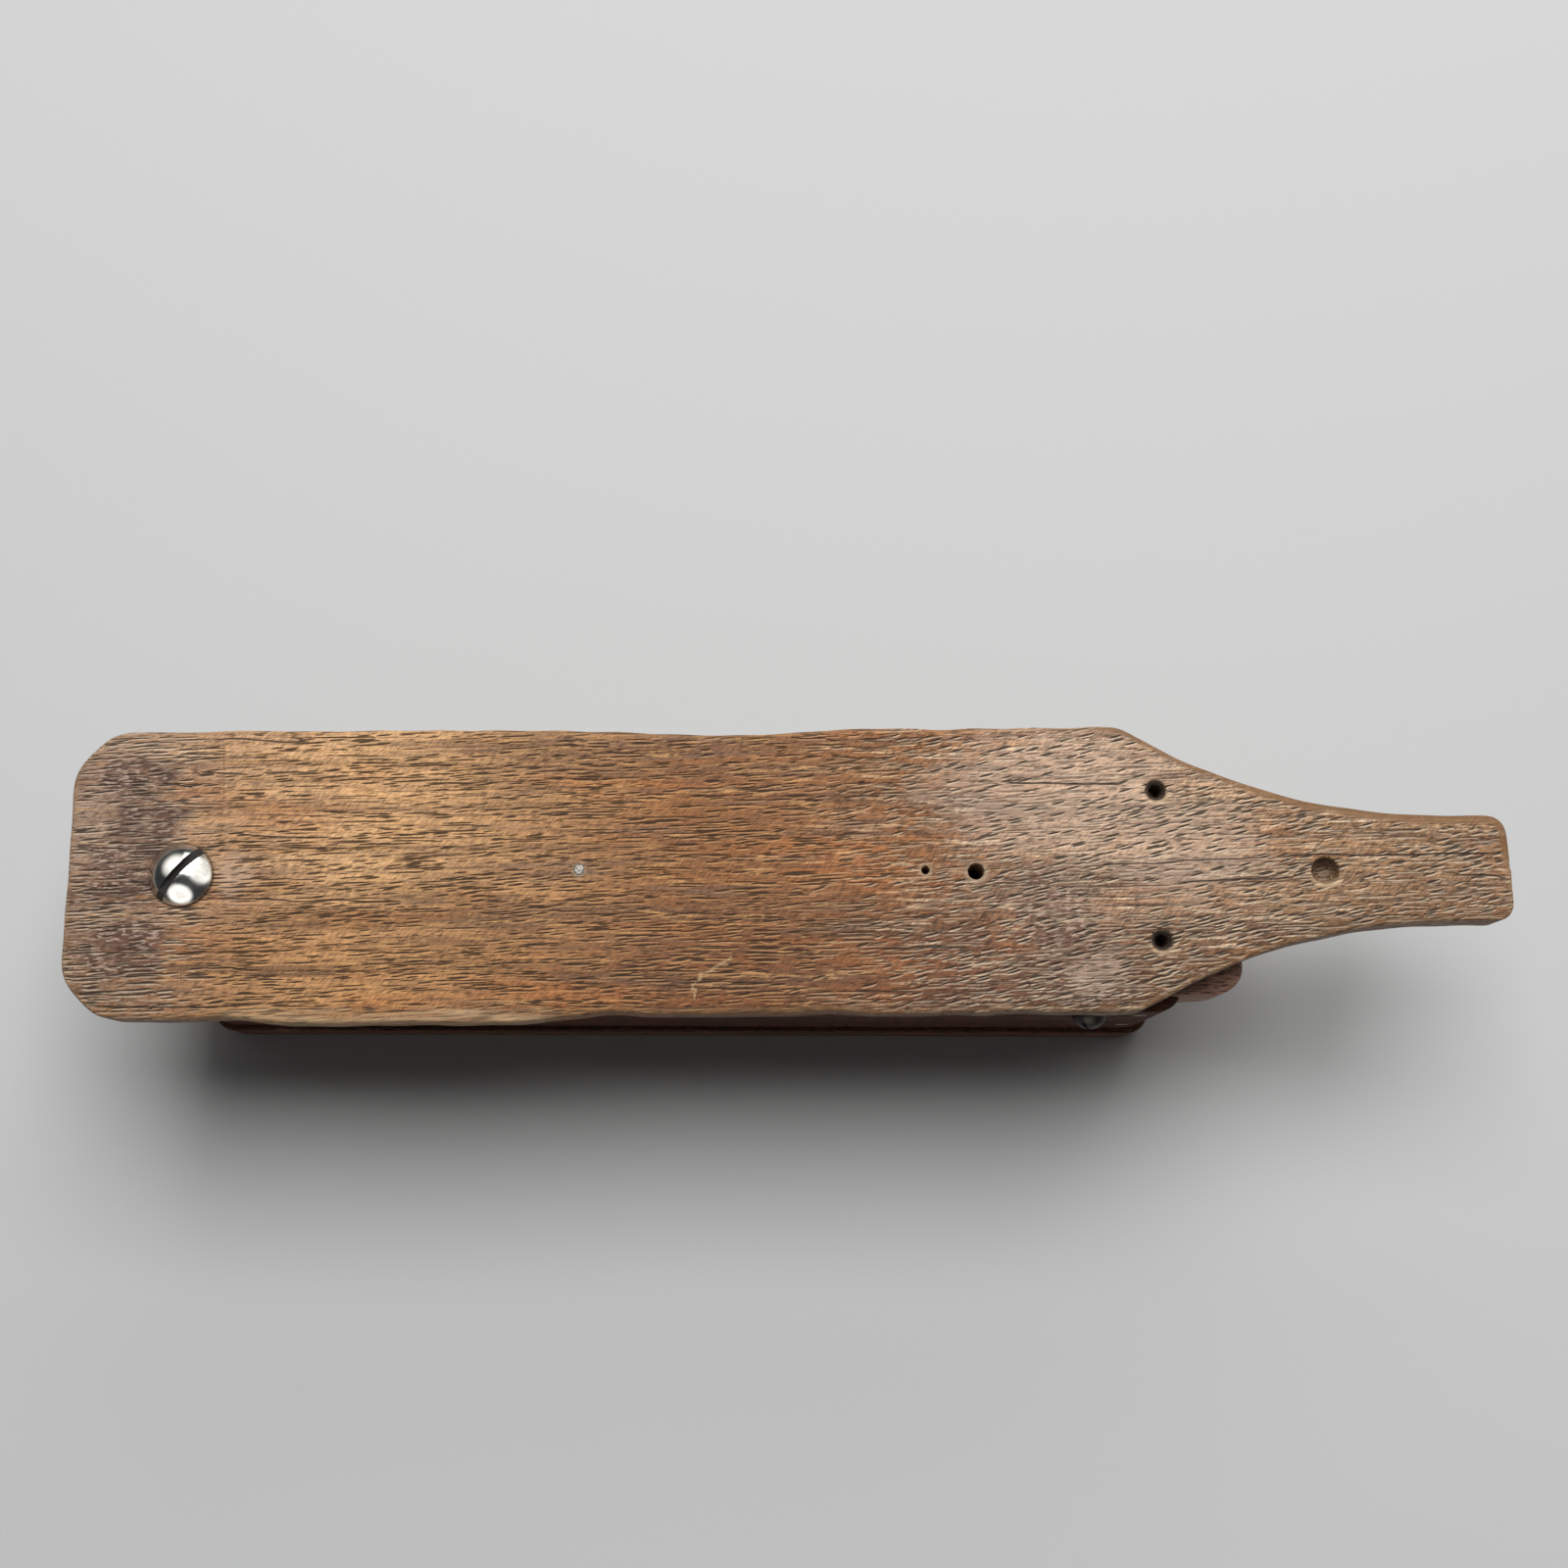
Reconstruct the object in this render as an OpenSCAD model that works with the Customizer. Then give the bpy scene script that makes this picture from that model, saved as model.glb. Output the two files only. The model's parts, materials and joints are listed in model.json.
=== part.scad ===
// Box call for turkey hunting: a thin-sided wooden sound box with a paddle lid
// that swings on one sprung screw, so that its crowned underside rubs the lips of the box.
// Millimetres. The origin is the middle of the underside of the bottom board.
// +X runs from the hinge end to the handle end, +Y to the far side board, +Z up.

/* [Lid] */
// Length of the lid from the hinge end to the tip of the handle
lid_len = 254; // [230:1:300]
// Full width of the lid where it is not worn
lid_w = 51.8; // [50:0.1:60]
// Thickness of the lid along its middle line
lid_t = 8; // [6:0.1:11]
// How much lower the crowned underside is at the middle than at the edges
crown_rise = 0.8; // [0.4:0.1:1.2]
// How much of each edge the sloping cut takes at the two hinge corners
hinge_corner_cut = 6.7; // [3:0.1:10]
// Radius that eases both ends of that cut
hinge_corner_r = 5; // [2:0.5:9]
// Radius that eases the shoulder where the sides turn in to the handle
shoulder_r = 4.5; // [2:0.5:9]
// Radius of the hollow sweep from the shoulder to the handle
neck_r = 105; // [70:1:140]
// Width of the handle
handle_w = 18.8; // [14:0.1:24]
// Length of the handle's straight end
handle_len = 11.5; // [6:0.5:30]
// Radius of the two corners at the tip of the handle
handle_corner_r = 3; // [1:0.5:6]
// How far the lid stands out past the bottom board on each side
lid_overhang = 2.3; // [0.5:0.1:4]
// Turn of the resting lid on its screw from the length of the box
lid_rest_turn = 0.46; // [-2:0.02:2]

/* [Hand wear on the lid] */
// How far the near edge is worn back along its handle half
near_wear = 1.25; // [0:0.05:2]
// Length over which the near edge steps in to its worn half
near_wear_run = 21; // [8:1:40]
// Depth of the thumb hollow in the far edge
far_wear = 1.2; // [0:0.05:2]
// Length of the thumb hollow in the far edge
far_wear_len = 52; // [20:1:80]
// Depth of the small dents along both edges
dent_depth = 0.35; // [0:0.05:0.8]
// Length of one small dent
dent_len = 16; // [8:1:30]

/* [Holes in the lid] */
// Distance from the hinge end of the lid to the pivot screw
pivot_from_end = 20; // [14:0.5:30]
// Diameter of the nail whose end lies flush in the lid
lid_pin_d = 1.8; // [1:0.1:3]
// Depth of that nail in the lid
lid_pin_len = 6; // [3:0.5:6.5]
// Diameter of the small hole near the middle
small_hole_d = 1.4; // [0.8:0.1:2]
// Diameter of the middle hole
centre_hole_d = 2.8; // [2:0.1:4]
// Diameter of the two cord holes at the shoulders
cord_hole_d = 2.2; // [1.4:0.1:4]
// Distance between the two cord holes
cord_hole_pitch = 26.7; // [20:0.1:32]
// Diameter of the worn rim of a cord hole
cord_rim_d = 4.2; // [3:0.1:6]
// Depth of the worn rim of a cord hole
cord_rim_depth = 0.9; // [0.3:0.1:1.5]
// Diameter of the blind hole in the handle
handle_hole_d = 4.8; // [3:0.1:7]
// Depth of the blind hole in the handle
handle_hole_depth = 2.5; // [1:0.1:4]

/* [Sound box] */
// Length of the bottom board and of the side boards
box_len = 183.5; // [165:0.5:195]
// Thickness of the bottom board
base_t = 9.5; // [6:0.5:14]
// Radius of the corners of the bottom board
base_corner_r = 4; // [1:0.5:8]
// How far the bottom board stands out past a side board
base_ledge = 1.1; // [0.2:0.1:2]
// Thickness of a side board
side_t = 2.9; // [1.6:0.1:4]
// Height of a side board at its two ends
side_h = 34.5; // [28:0.5:44]
// How much higher the lip of a side board is at mid length
lip_rise = 3.3; // [1:0.1:5]
// Radius of the upper corners of a side board
side_corner_r = 3; // [1:0.5:6]
// Length over which the ends of a side board are rounded over to the blocks
side_round_len = 5; // [3:0.5:8]
// Distance from the hinge end of the box to the pivot screw
pivot_to_box_end = 6; // [4:0.5:9]

/* [End blocks] */
// Length of the hinge block inside the box
hinge_block_len = 23; // [18:0.5:30]
// Length of the handle block inside the box
handle_block_len = 20; // [18.5:0.5:30]
// How far the nose of a block stands out past the box
nose_len = 11; // [8:0.5:14]
// Thickness of a nose
nose_t = 10.5; // [7:0.5:14]
// Radius of the nose corners seen from above
nose_corner_r = 6; // [3:0.5:9]
// Radius of the cove under a nose
cove_r = 9; // [4:0.5:9.5]
// Radius that eases the tip of a nose above and below
nose_tip_r = 1.5; // [0.5:0.1:3]

/* [Pivot screw and spring] */
// Diameter of the round head of the pivot screw
pivot_head_d = 11; // [9:0.1:14]
// Height of the dome of the head
pivot_head_h = 2.9; // [2:0.1:4]
// Height of the straight rim under the dome
pivot_head_land = 0.4; // [0.2:0.1:1]
// Diameter of the shank of the pivot screw
pivot_shank_d = 5.5; // [4:0.1:6]
// Length of the pivot screw under its head
pivot_len = 32; // [26:0.5:38]
// Length of the pointed end of the pivot screw
pivot_point_len = 5; // [2:0.5:8]
// Width of the slot in the pivot screw
pivot_slot_w = 1.4; // [0.8:0.1:2]
// Depth of the slot in the pivot screw
pivot_slot_depth = 1.6; // [0.8:0.1:2]
// Turn of the slot from the length of the box
pivot_slot_turn = 51; // [0:1:180]
// Wire diameter of the lid spring
spring_wire_d = 1; // [0.7:0.1:1.2]
// Outside diameter of the lid spring
spring_d = 9.6; // [8.8:0.1:11]
// Number of curls of the lid spring
spring_curls = 3; // [2:1:3]
// Depth of the recess for the spring in the hinge block
recess_depth = 7; // [5:0.5:9]
// Outside diameter of the washer on the spring
washer_d = 12; // [10:0.5:14]
// Thickness of the washer on the spring
washer_t = 1; // [0.6:0.1:1.1]

/* [Nails and side screws] */
// Diameter of the head of a side screw
band_head_d = 6.2; // [5:0.1:8]
// Height of the dome of a side screw
band_head_h = 2.2; // [1.5:0.1:2.8]
// Diameter of the shank of a side screw
band_shank_d = 3.2; // [2:0.1:4]
// Length of a side screw under its head
band_len = 14; // [8:0.5:18]
// Width of the slot in a side screw
band_slot_w = 0.8; // [0.5:0.1:1.2]
// Distance from a side screw to the handle end of the box
band_from_end = 15.8; // [12:0.1:17]
// Height of the side screws above the floor
band_z = 38; // [32:0.5:40]
// Diameter of a nail
brad_d = 1.3; // [0.8:0.1:2]
// Diameter of the head of a nail
brad_head_d = 2.4; // [1.8:0.1:3.5]
// Height of the head of a nail
brad_head_h = 0.6; // [0.3:0.1:1]
// Length of a nail in a side board
side_brad_len = 13; // [8:0.5:16]
// Length of a nail in the bottom board
base_brad_len = 19; // [14:0.5:26]
// Distance from the hinge end of the box to its side nails
hinge_brad_from_end = 14.5; // [10:0.5:20]
// Distance from the rounded ends of the side boards to the side nails at the handle end
handle_brad_from_round = 1.4; // [1.2:0.1:4]
// Height of the upper side nails above the floor
upper_brad_z = 37; // [30:0.5:40]
// Height of the lower side nails above the floor
lower_brad_z = 17; // [15:0.5:24]
// Distance between the two nails under one end block
base_brad_pitch = 24; // [14:0.5:32]

/* [Clearances] */
// Gap between the crown of the lid and the highest point of the lips
lip_gap = 0.3; // [0.1:0.05:0.6]
// Gap between the end blocks and the underside of the lid
block_gap = 2.1; // [1.9:0.1:3]
// Gap between rubbing faces at the head and the spring
rub_gap = 0.05; // [0.02:0.01:0.1]
// Space round the pivot screw in the loose hole of the lid
lid_hole_clear = 0.7; // [0.6:0.05:1]
// Space round the spring in its recess
recess_clear = 0.6; // [0.3:0.1:1]
// Space round a nail or a screw in its hole
drill_clear = 0.05; // [0.02:0.01:0.1]

/* [Hidden] */
$fn = 96;

// Every cut runs this far past the face that it opens
overrun = 1;

// Colours as the photograph shows them
lid_wood = [0.62, 0.42, 0.26];
box_wood = [0.36, 0.20, 0.15];
board_wood = [0.40, 0.23, 0.17];
nickel = [0.72, 0.72, 0.70];
dull_steel = [0.52, 0.51, 0.49];

// Places along X, on the box and then on the lid from its middle
box_x1 = box_len / 2;
box_x0 = -box_x1;
pivot_x = box_x0 + pivot_to_box_end;
lid_end_x = lid_len / 2;
lid_pivot_x = pivot_from_end - lid_end_x;
neck_x = lid_end_x - handle_len;
hinge_side_brad_x = box_x0 + hinge_brad_from_end;
handle_side_brad_x = box_x1 - side_round_len - handle_brad_from_round;
hinge_base_brad_x = box_x0 + hinge_block_len / 2;
handle_base_brad_x = box_x1 - handle_block_len / 2;

// Places across the box
base_w = lid_w - 2 * lid_overhang;
side_out_y = base_w / 2 - base_ledge;
block_w = 2 * (side_out_y - side_t);

// Heights
lip_z = base_t + side_h + lip_rise;
lid_z = lip_z + lip_gap;
lid_top_z = lid_z + lid_t;
block_top_z = lid_z - block_gap;
nose_z = block_top_z - nose_t;
washer_z = lid_z - washer_t;
recess_z = block_top_z - recess_depth;
spring_z0 = recess_z + rub_gap;
spring_z1 = washer_z - rub_gap;

// Radius of a circle from half its chord and its rise
function sagitta_r(half, rise) = (half * half + rise * rise) / (2 * rise);
crown_r = sagitta_r(lid_w / 2, crown_rise);
lip_r = sagitta_r(box_len / 2, lip_rise);
side_round_r = sagitta_r(side_round_len, side_t);

// Outline of the lid. A wear dip is a smooth bell of one depth and length,
// and the near edge also steps in for good towards the handle.
arc_count = 12;
edge_count = 48;
near_step_share = 0.335;
far_hollow_share = 0.455;
near_dent_shares = [0.11, 0.38, 0.53, 0.66];
far_dent_shares = [0.355, 0.60];

function bell(x, middle, len) =
    let (u = min(1, abs(x - middle) / (len / 2))) pow(1 - u * u, 2);
function ease(u) = let (v = max(0, min(1, u))) v * v * (3 - 2 * v);
function along(share) = share * lid_len - lid_end_x;
function dents(x, shares) =
    dent_depth * max([for (s = shares) bell(x, along(s), dent_len)]);
function far_edge(x) =
    lid_w / 2 - far_wear * bell(x, along(far_hollow_share), far_wear_len)
    - dents(x, far_dent_shares);
function near_edge(x) =
    lid_w / 2 - near_wear * ease((x - along(near_step_share)) / near_wear_run + 1 / 2)
    - dents(x, near_dent_shares);

function arc(x, y, r, from, to) =
    [for (i = [0:arc_count]) let (a = from + (to - from) * i / arc_count)
        [x + r * cos(a), y + r * sin(a)]];

// A hinge corner: a cut at 45 degrees with an easing arc at each end
cut_turn = 45;
corner_reach = hinge_corner_cut + hinge_corner_r * tan(cut_turn / 2);
function hinge_corner() =
    concat(
        arc(hinge_corner_r - lid_end_x, lid_w / 2 - corner_reach,
            hinge_corner_r, 180, 180 - cut_turn),
        arc(corner_reach - lid_end_x, lid_w / 2 - hinge_corner_r,
            hinge_corner_r, 180 - cut_turn, 90));

// One side of the lid from the hinge end to the handle, as if it were the far side.
// The easing arc at the shoulder touches the edge from inside and the sweep from outside.
function neck_y() = handle_w / 2 + neck_r;
function shoulder_drop(half) = neck_y() - (half - shoulder_r);
function shoulder_x(half) =
    neck_x - sqrt(pow(neck_r + shoulder_r, 2) - pow(shoulder_drop(half), 2));
function shoulder_turn(half) = atan2(shoulder_drop(half), neck_x - shoulder_x(half));
function side_points(half, edge) =
    let (x1 = shoulder_x(half), t = shoulder_turn(half))
    concat(
        hinge_corner(),
        edge,
        arc(x1, half - shoulder_r, shoulder_r, 90, t),
        arc(neck_x, neck_y(), neck_r, 180 + t, 270),
        arc(lid_end_x - handle_corner_r, handle_w / 2 - handle_corner_r,
            handle_corner_r, 90, 0));
function edge_x(i, half) =
    let (x0 = corner_reach - lid_end_x)
    x0 + (shoulder_x(half) - x0) * i / edge_count;
function far_points() =
    let (half = lid_w / 2)
    side_points(half, [for (i = [1:edge_count - 1])
        [edge_x(i, half), far_edge(edge_x(i, half))]]);
function near_points() =
    let (half = lid_w / 2 - near_wear)
    side_points(half, [for (i = [1:edge_count - 1])
        [edge_x(i, half), near_edge(edge_x(i, half))]]);
function turned_over(points) =
    [for (i = [len(points) - 1:-1:0]) [points[i][0], -points[i][1]]];

// Holes in the lid, as shares of its length and width from its middle
lid_pin_share = [-0.146, 0.013];
small_hole_share = [0.094, 0.005];
centre_hole_share = [0.129, 0];
cord_holes_share = [0.256, 0.02];
handle_hole_share = [0.371, -0.003];
function lid_place(share) = [share[0] * lid_len, share[1] * lid_w];

// What lies on the lid is drawn from the lid's middle and then hung on the screw
module on_lid() {
    translate([pivot_x, 0, 0])
        rotate([0, 0, lid_rest_turn])
            translate([-lid_pivot_x, 0, 0])
                children();
}

module lid_holes() {
    translate([lid_pivot_x, 0, lid_z - overrun])
        cylinder(d = pivot_shank_d + 2 * lid_hole_clear, h = lid_t + 2 * overrun);
    translate(concat(lid_place(lid_pin_share), lid_top_z - lid_pin_len - drill_clear))
        cylinder(d = lid_pin_d + 2 * drill_clear, h = lid_pin_len + overrun);
    translate(concat(lid_place(small_hole_share), lid_z - overrun))
        cylinder(d = small_hole_d, h = lid_t + 2 * overrun);
    translate(concat(lid_place(centre_hole_share), lid_z - overrun))
        cylinder(d = centre_hole_d, h = lid_t + 2 * overrun);
    for (side = [-1, 1])
        translate(concat(lid_place(cord_holes_share) + [0, side * cord_hole_pitch / 2], 0))
            cord_hole();
    translate(concat(lid_place(handle_hole_share), lid_top_z - handle_hole_depth))
        cylinder(d = handle_hole_d, h = handle_hole_depth + overrun);
}

module cord_hole() {
    rim_slope = (cord_rim_d - cord_hole_d) / 2 / cord_rim_depth;
    translate([0, 0, lid_z - overrun])
        cylinder(d = cord_hole_d, h = lid_t + 2 * overrun);
    translate([0, 0, lid_top_z - cord_rim_depth])
        cylinder(r1 = cord_hole_d / 2, r2 = cord_rim_d / 2 + rim_slope * overrun,
                 h = cord_rim_depth + overrun);
}

// Paddle lid: one plank with its handle, flat above and crowned below
module lid() {
    color(lid_wood)
    on_lid()
    difference() {
        intersection() {
            translate([0, 0, lid_z])
                linear_extrude(lid_t)
                    polygon(concat(far_points(), turned_over(near_points())));
            translate([0, 0, lid_z + crown_r])
                rotate([0, 90, 0])
                    cylinder(r = crown_r, h = lid_len + 2 * overrun, center = true, $fn = 720);
        }
        lid_holes();
    }
}

// Nail driven into the lid, its end filed flush with the top
module lid_pin() {
    color(nickel)
    on_lid()
        translate(concat(lid_place(lid_pin_share), lid_top_z - lid_pin_len))
            cylinder(d = lid_pin_d, h = lid_pin_len);
}

// A slab with its corners rounded in plan, resting on z = 0 and centred on the origin
module round_slab(l, w, h, r) {
    translate([-l / 2, r - w / 2, 0])
        cube([l, w - 2 * r, h]);
    translate([r - l / 2, -w / 2, 0])
        cube([l - 2 * r, w, h]);
    for (x = [r - l / 2, l / 2 - r], y = [r - w / 2, w / 2 - r])
        translate([x, y, 0])
            cylinder(r = r, h = h);
}

// Bottom board, nailed up into the two end blocks
module base_board() {
    color(box_wood)
    difference() {
        round_slab(box_len, base_w, base_t, base_corner_r);
        base_brads(hinge_base_brad_x, drill_clear);
        base_brads(handle_base_brad_x, drill_clear);
    }
}

// Outline of a side board: square at the bottom, a long arched lip on top
module side_profile() {
    top = side_h + lip_rise;
    intersection() {
        translate([box_len / 2, top - lip_r])
            circle(r = lip_r, $fn = 1440);
        union() {
            square([box_len, side_h - side_corner_r]);
            translate([side_corner_r, 0])
                square([box_len - 2 * side_corner_r, top]);
            for (x = [side_corner_r, box_len - side_corner_r])
                translate([x, side_h - side_corner_r])
                    circle(r = side_corner_r);
        }
    }
}

// Plan of the two side boards: their ends run round from the outer faces to the blocks
module side_plan() {
    straight = box_len - 2 * side_round_len;
    translate([-straight / 2, -side_out_y, base_t])
        cube([straight, 2 * side_out_y, side_h + lip_rise]);
    for (end = [-1, 1], side = [-1, 1])
        translate([end * straight / 2, side * (side_out_y - side_round_r), base_t])
            cylinder(r = side_round_r, h = side_h + lip_rise);
}

// Sounding board, glued to the bottom board and nailed to the end blocks
module side_board(side) {
    color(board_wood)
    difference() {
        intersection() {
            translate([box_x0, side * (side_out_y - side_t / 2) + side_t / 2, base_t])
                rotate([90, 0, 0])
                    linear_extrude(side_t)
                        side_profile();
            side_plan();
        }
        side_brads(side, hinge_side_brad_x, drill_clear);
        side_brads(side, handle_side_brad_x, drill_clear);
        band_screw_shank(side, drill_clear);
    }
}

// Side view of an end block, +X outwards from the end of the box:
// the block itself, the nose that stands out and the cove below it
module block_profile(inner_len) {
    h = block_top_z - base_t;
    under = nose_z - base_t;
    difference() {
        union() {
            translate([-inner_len, 0])
                square([inner_len, h]);
            translate([0, under])
                square([nose_len - nose_tip_r, nose_t]);
            translate([0, under + nose_tip_r])
                square([nose_len, nose_t - 2 * nose_tip_r]);
            for (z = [under + nose_tip_r, h - nose_tip_r])
                translate([nose_len - nose_tip_r, z])
                    circle(r = nose_tip_r);
            translate([0, under - cove_r])
                square(cove_r);
        }
        translate([cove_r, under - cove_r])
            circle(r = cove_r);
    }
}

// End block with the plan of its nose rounded at both corners
module end_block(inner_len) {
    total = inner_len + nose_len;
    intersection() {
        translate([0, block_w / 2, base_t])
            rotate([90, 0, 0])
                linear_extrude(block_w)
                    block_profile(inner_len);
        union() {
            translate([nose_len - total / 2, 0, 0])
                round_slab(total, block_w, lid_z, nose_corner_r);
            translate([-inner_len, -block_w / 2, 0])
                cube([inner_len, block_w, lid_z]);
        }
    }
}

// Block under the pivot: it takes the screw and has a recess for the spring
module hinge_block() {
    color(box_wood)
    difference() {
        translate([box_x0, 0, 0])
            mirror([1, 0, 0])
                end_block(hinge_block_len);
        translate([pivot_x, 0, recess_z])
            cylinder(d = spring_d + 2 * recess_clear, h = recess_depth + overrun);
        pivot_screw_shank(drill_clear);
        for (side = [-1, 1])
            side_brads(side, hinge_side_brad_x, drill_clear);
        base_brads(hinge_base_brad_x, drill_clear);
    }
}

// Block at the open end of the box: it takes the two side screws
module handle_block() {
    color(box_wood)
    difference() {
        translate([box_x1, 0, 0])
            end_block(handle_block_len);
        for (side = [-1, 1]) {
            side_brads(side, handle_side_brad_x, drill_clear);
            band_screw_shank(side, drill_clear);
        }
        base_brads(handle_base_brad_x, drill_clear);
    }
}

// Nail along +Z with its head flush at the origin, and extra space when it is a hole
module brad(length, space) {
    cylinder(d = brad_d + 2 * space, h = length + space);
    cylinder(d = brad_head_d + 2 * space, h = brad_head_h + space);
    if (space > 0)
        translate([0, 0, -overrun])
            cylinder(d = brad_head_d + 2 * space, h = 2 * overrun);
}

module side_brads(side, x, space) {
    for (z = [lower_brad_z, upper_brad_z])
        translate([x, side * side_out_y, z])
            rotate([side * 90, 0, 0])
                brad(side_brad_len, space);
}

module base_brads(x, space) {
    for (side = [-1, 1])
        translate([x, side * base_brad_pitch / 2, 0])
            brad(base_brad_len, space);
}

// Nails through the side boards into the hinge block, driven flush
module hinge_brads(side) {
    color(dull_steel)
    side_brads(side, hinge_side_brad_x, 0);
}

// Nails through the side boards into the handle block, close to the open end
module handle_brads(side) {
    color(dull_steel)
    side_brads(side, handle_side_brad_x, 0);
}

// Nails up through the bottom board into the hinge block
module base_hinge_brads() {
    color(dull_steel)
    base_brads(hinge_base_brad_x, 0);
}

// Nails up through the bottom board into the handle block
module base_handle_brads() {
    color(dull_steel)
    base_brads(handle_base_brad_x, 0);
}

// Cap of a sphere on z = 0, of one diameter and height
module dome(d, h) {
    r = sagitta_r(d / 2, h);
    intersection() {
        translate([0, 0, h - r])
            sphere(r = r);
        cylinder(d = d, h = h);
    }
}

// Round slotted head on z = 0: a short rim, a dome and the slot
module round_head(d, land, h, slot_w, slot_depth) {
    difference() {
        union() {
            cylinder(d = d, h = land);
            translate([0, 0, land])
                dome(d, h);
        }
        translate([-d / 2 - overrun, -slot_w / 2, land + h - slot_depth])
            cube([d + 2 * overrun, slot_w, slot_depth + overrun]);
    }
}

// Shank down from z = 0 with a point at its end
module screw_shank(d, length, point, space) {
    translate([0, 0, point - length])
        cylinder(d = d + 2 * space, h = length - point);
    translate([0, 0, -length - space])
        cylinder(d1 = d / 4 + 2 * space, d2 = d + 2 * space, h = point + space);
}

module pivot_screw_shank(space) {
    translate([pivot_x, 0, lid_top_z + rub_gap])
        screw_shank(pivot_shank_d, pivot_len, pivot_point_len, space);
}

// Large round-head wood screw on which the lid turns
module pivot_screw() {
    color(nickel) {
        pivot_screw_shank(0);
        translate([pivot_x, 0, lid_top_z + rub_gap])
            rotate([0, 0, pivot_slot_turn])
                round_head(pivot_head_d, pivot_head_land, pivot_head_h,
                           pivot_slot_w, pivot_slot_depth);
    }
}

// Side screw for the rubber band that holds the lid still on the move
module band_place(side) {
    translate([box_x1 - band_from_end, side * side_out_y, band_z])
        rotate([-side * 90, 0, 0])
            children();
}

module band_screw_shank(side, space) {
    band_place(side)
        screw_shank(band_shank_d, band_len, band_shank_d, space);
}

module band_screw(side) {
    color(nickel) {
        band_screw_shank(side, 0);
        band_place(side)
            rotate([0, 0, side * pivot_slot_turn])
                round_head(band_head_d, pivot_head_land, band_head_h,
                           band_slot_w, band_head_h / 2);
    }
}

// Steel washer between the spring and the lid, bored as loosely as the lid
module spring_washer() {
    color(dull_steel)
    translate([pivot_x, 0, washer_z])
        difference() {
            cylinder(d = washer_d, h = washer_t);
            translate([0, 0, -overrun])
                cylinder(d = pivot_shank_d + 2 * lid_hole_clear, h = washer_t + 2 * overrun);
        }
}

// Lid spring: one round wire. It stands up from the floor of the recess, curls round
// the screw at an even pitch and stands up again under the washer.
wire_sides = 6;
curl_steps = 12;
bend_steps = 4;
bend_share = 0.6;
spring_r = (spring_d - spring_wire_d) / 2;
bend_r = spring_wire_d * bend_share;
helix_z0 = spring_z0 + spring_wire_d + bend_r;
helix_z1 = spring_z1 - spring_wire_d - bend_r;

// A bend turns the wire from upright to level. Its length round the spring is bend_r.
bend_turn = bend_r / spring_r * 180 / PI;
function at_turn(turn, z) = [spring_r * cos(turn), spring_r * sin(turn), z];
function wire_path() =
    let (full = 360 * spring_curls)
    concat(
        [at_turn(-bend_turn, spring_z0)],
        [for (i = [0:bend_steps]) let (a = 90 * i / bend_steps)
            at_turn(-bend_turn * cos(a), helix_z0 - bend_r * (1 - sin(a)))],
        [for (i = [1:spring_curls * curl_steps - 1])
            at_turn(full * i / (spring_curls * curl_steps),
                    helix_z0 + (helix_z1 - helix_z0) * i / (spring_curls * curl_steps))],
        [for (i = [0:bend_steps]) let (a = 90 * i / bend_steps)
            at_turn(full + bend_turn * sin(a), helix_z1 + bend_r * (1 - cos(a)))],
        [at_turn(full + bend_turn, spring_z1)]);

function unit(v) = v / norm(v);
function heading(path, i) =
    i == 0 ? unit(path[1] - path[0]) :
    i == len(path) - 1 ? unit(path[i] - path[i - 1]) :
    unit(unit(path[i] - path[i - 1]) + unit(path[i + 1] - path[i]));

// Each ring lies square to the wire. Its first direction points away from the screw,
// which is never along the wire, so the tube doesn't twist.
function ring(path, i) =
    let (p = path[i], t = heading(path, i), out = unit([p[0], p[1], 0]),
         across = unit(out - (out * t) * t), up = cross(t, across))
    [for (k = [0:wire_sides - 1]) let (a = 360 * k / wire_sides)
        p + spring_wire_d / 2 * (cos(a) * across + sin(a) * up)];

module wire_tube(path) {
    n = len(path);
    s = wire_sides;
    points = [for (i = [0:n - 1]) each ring(path, i)];
    skin = [for (i = [0:n - 2], k = [0:s - 1]) let (a = i * s + k, b = i * s + (k + 1) % s)
        each [[a, b, b + s], [a, b + s, a + s]]];
    start_cap = [for (k = [1:s - 2]) [0, k + 1, k]];
    last = (n - 1) * s;
    end_cap = [for (k = [1:s - 2]) [last, last + k, last + k + 1]];
    polyhedron(points = points, faces = concat(skin, start_cap, end_cap));
}

module pivot_spring() {
    color(dull_steel)
    translate([pivot_x, 0, 0])
        wire_tube(wire_path());
}

// Least gap between curls, measured on the middle line of the wire
spring_path = wire_path();
spring_gap = min([for (i = [0:len(spring_path) - 1], k = [0:len(spring_path) - 1])
    if (k - i >= curl_steps / 2) norm(spring_path[i] - spring_path[k])]) - spring_wire_d;
echo(spring_least_gap = spring_gap);

// The lid can tip about the rim of the screw head until its end nears the hinge block
tip_reach = pivot_from_end + pivot_head_d / 2;
echo(tip_limit_degrees = asin(block_gap / tip_reach));

base_board();
hinge_block();
handle_block();
side_board(-1);  // near_side_board
side_board(1);  // far_side_board
hinge_brads(-1);  // near_hinge_brads
handle_brads(-1);  // near_handle_brads
hinge_brads(1);  // far_hinge_brads
handle_brads(1);  // far_handle_brads
base_hinge_brads();
base_handle_brads();
band_screw(-1);  // near_band_screw
band_screw(1);  // far_band_screw
pivot_screw();
pivot_spring();
spring_washer();
lid();
lid_pin();
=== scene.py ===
# A box call: a thin-sided wooden sound box with a paddle lid that swings on one sprung screw.
# Metres, in the frame of the bottom board: +X to the handle end, +Y to the far side board, +Z up.
# Shapes are worked out in millimetres and turned to metres when a mesh is made.
import json
import math
import random

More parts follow.
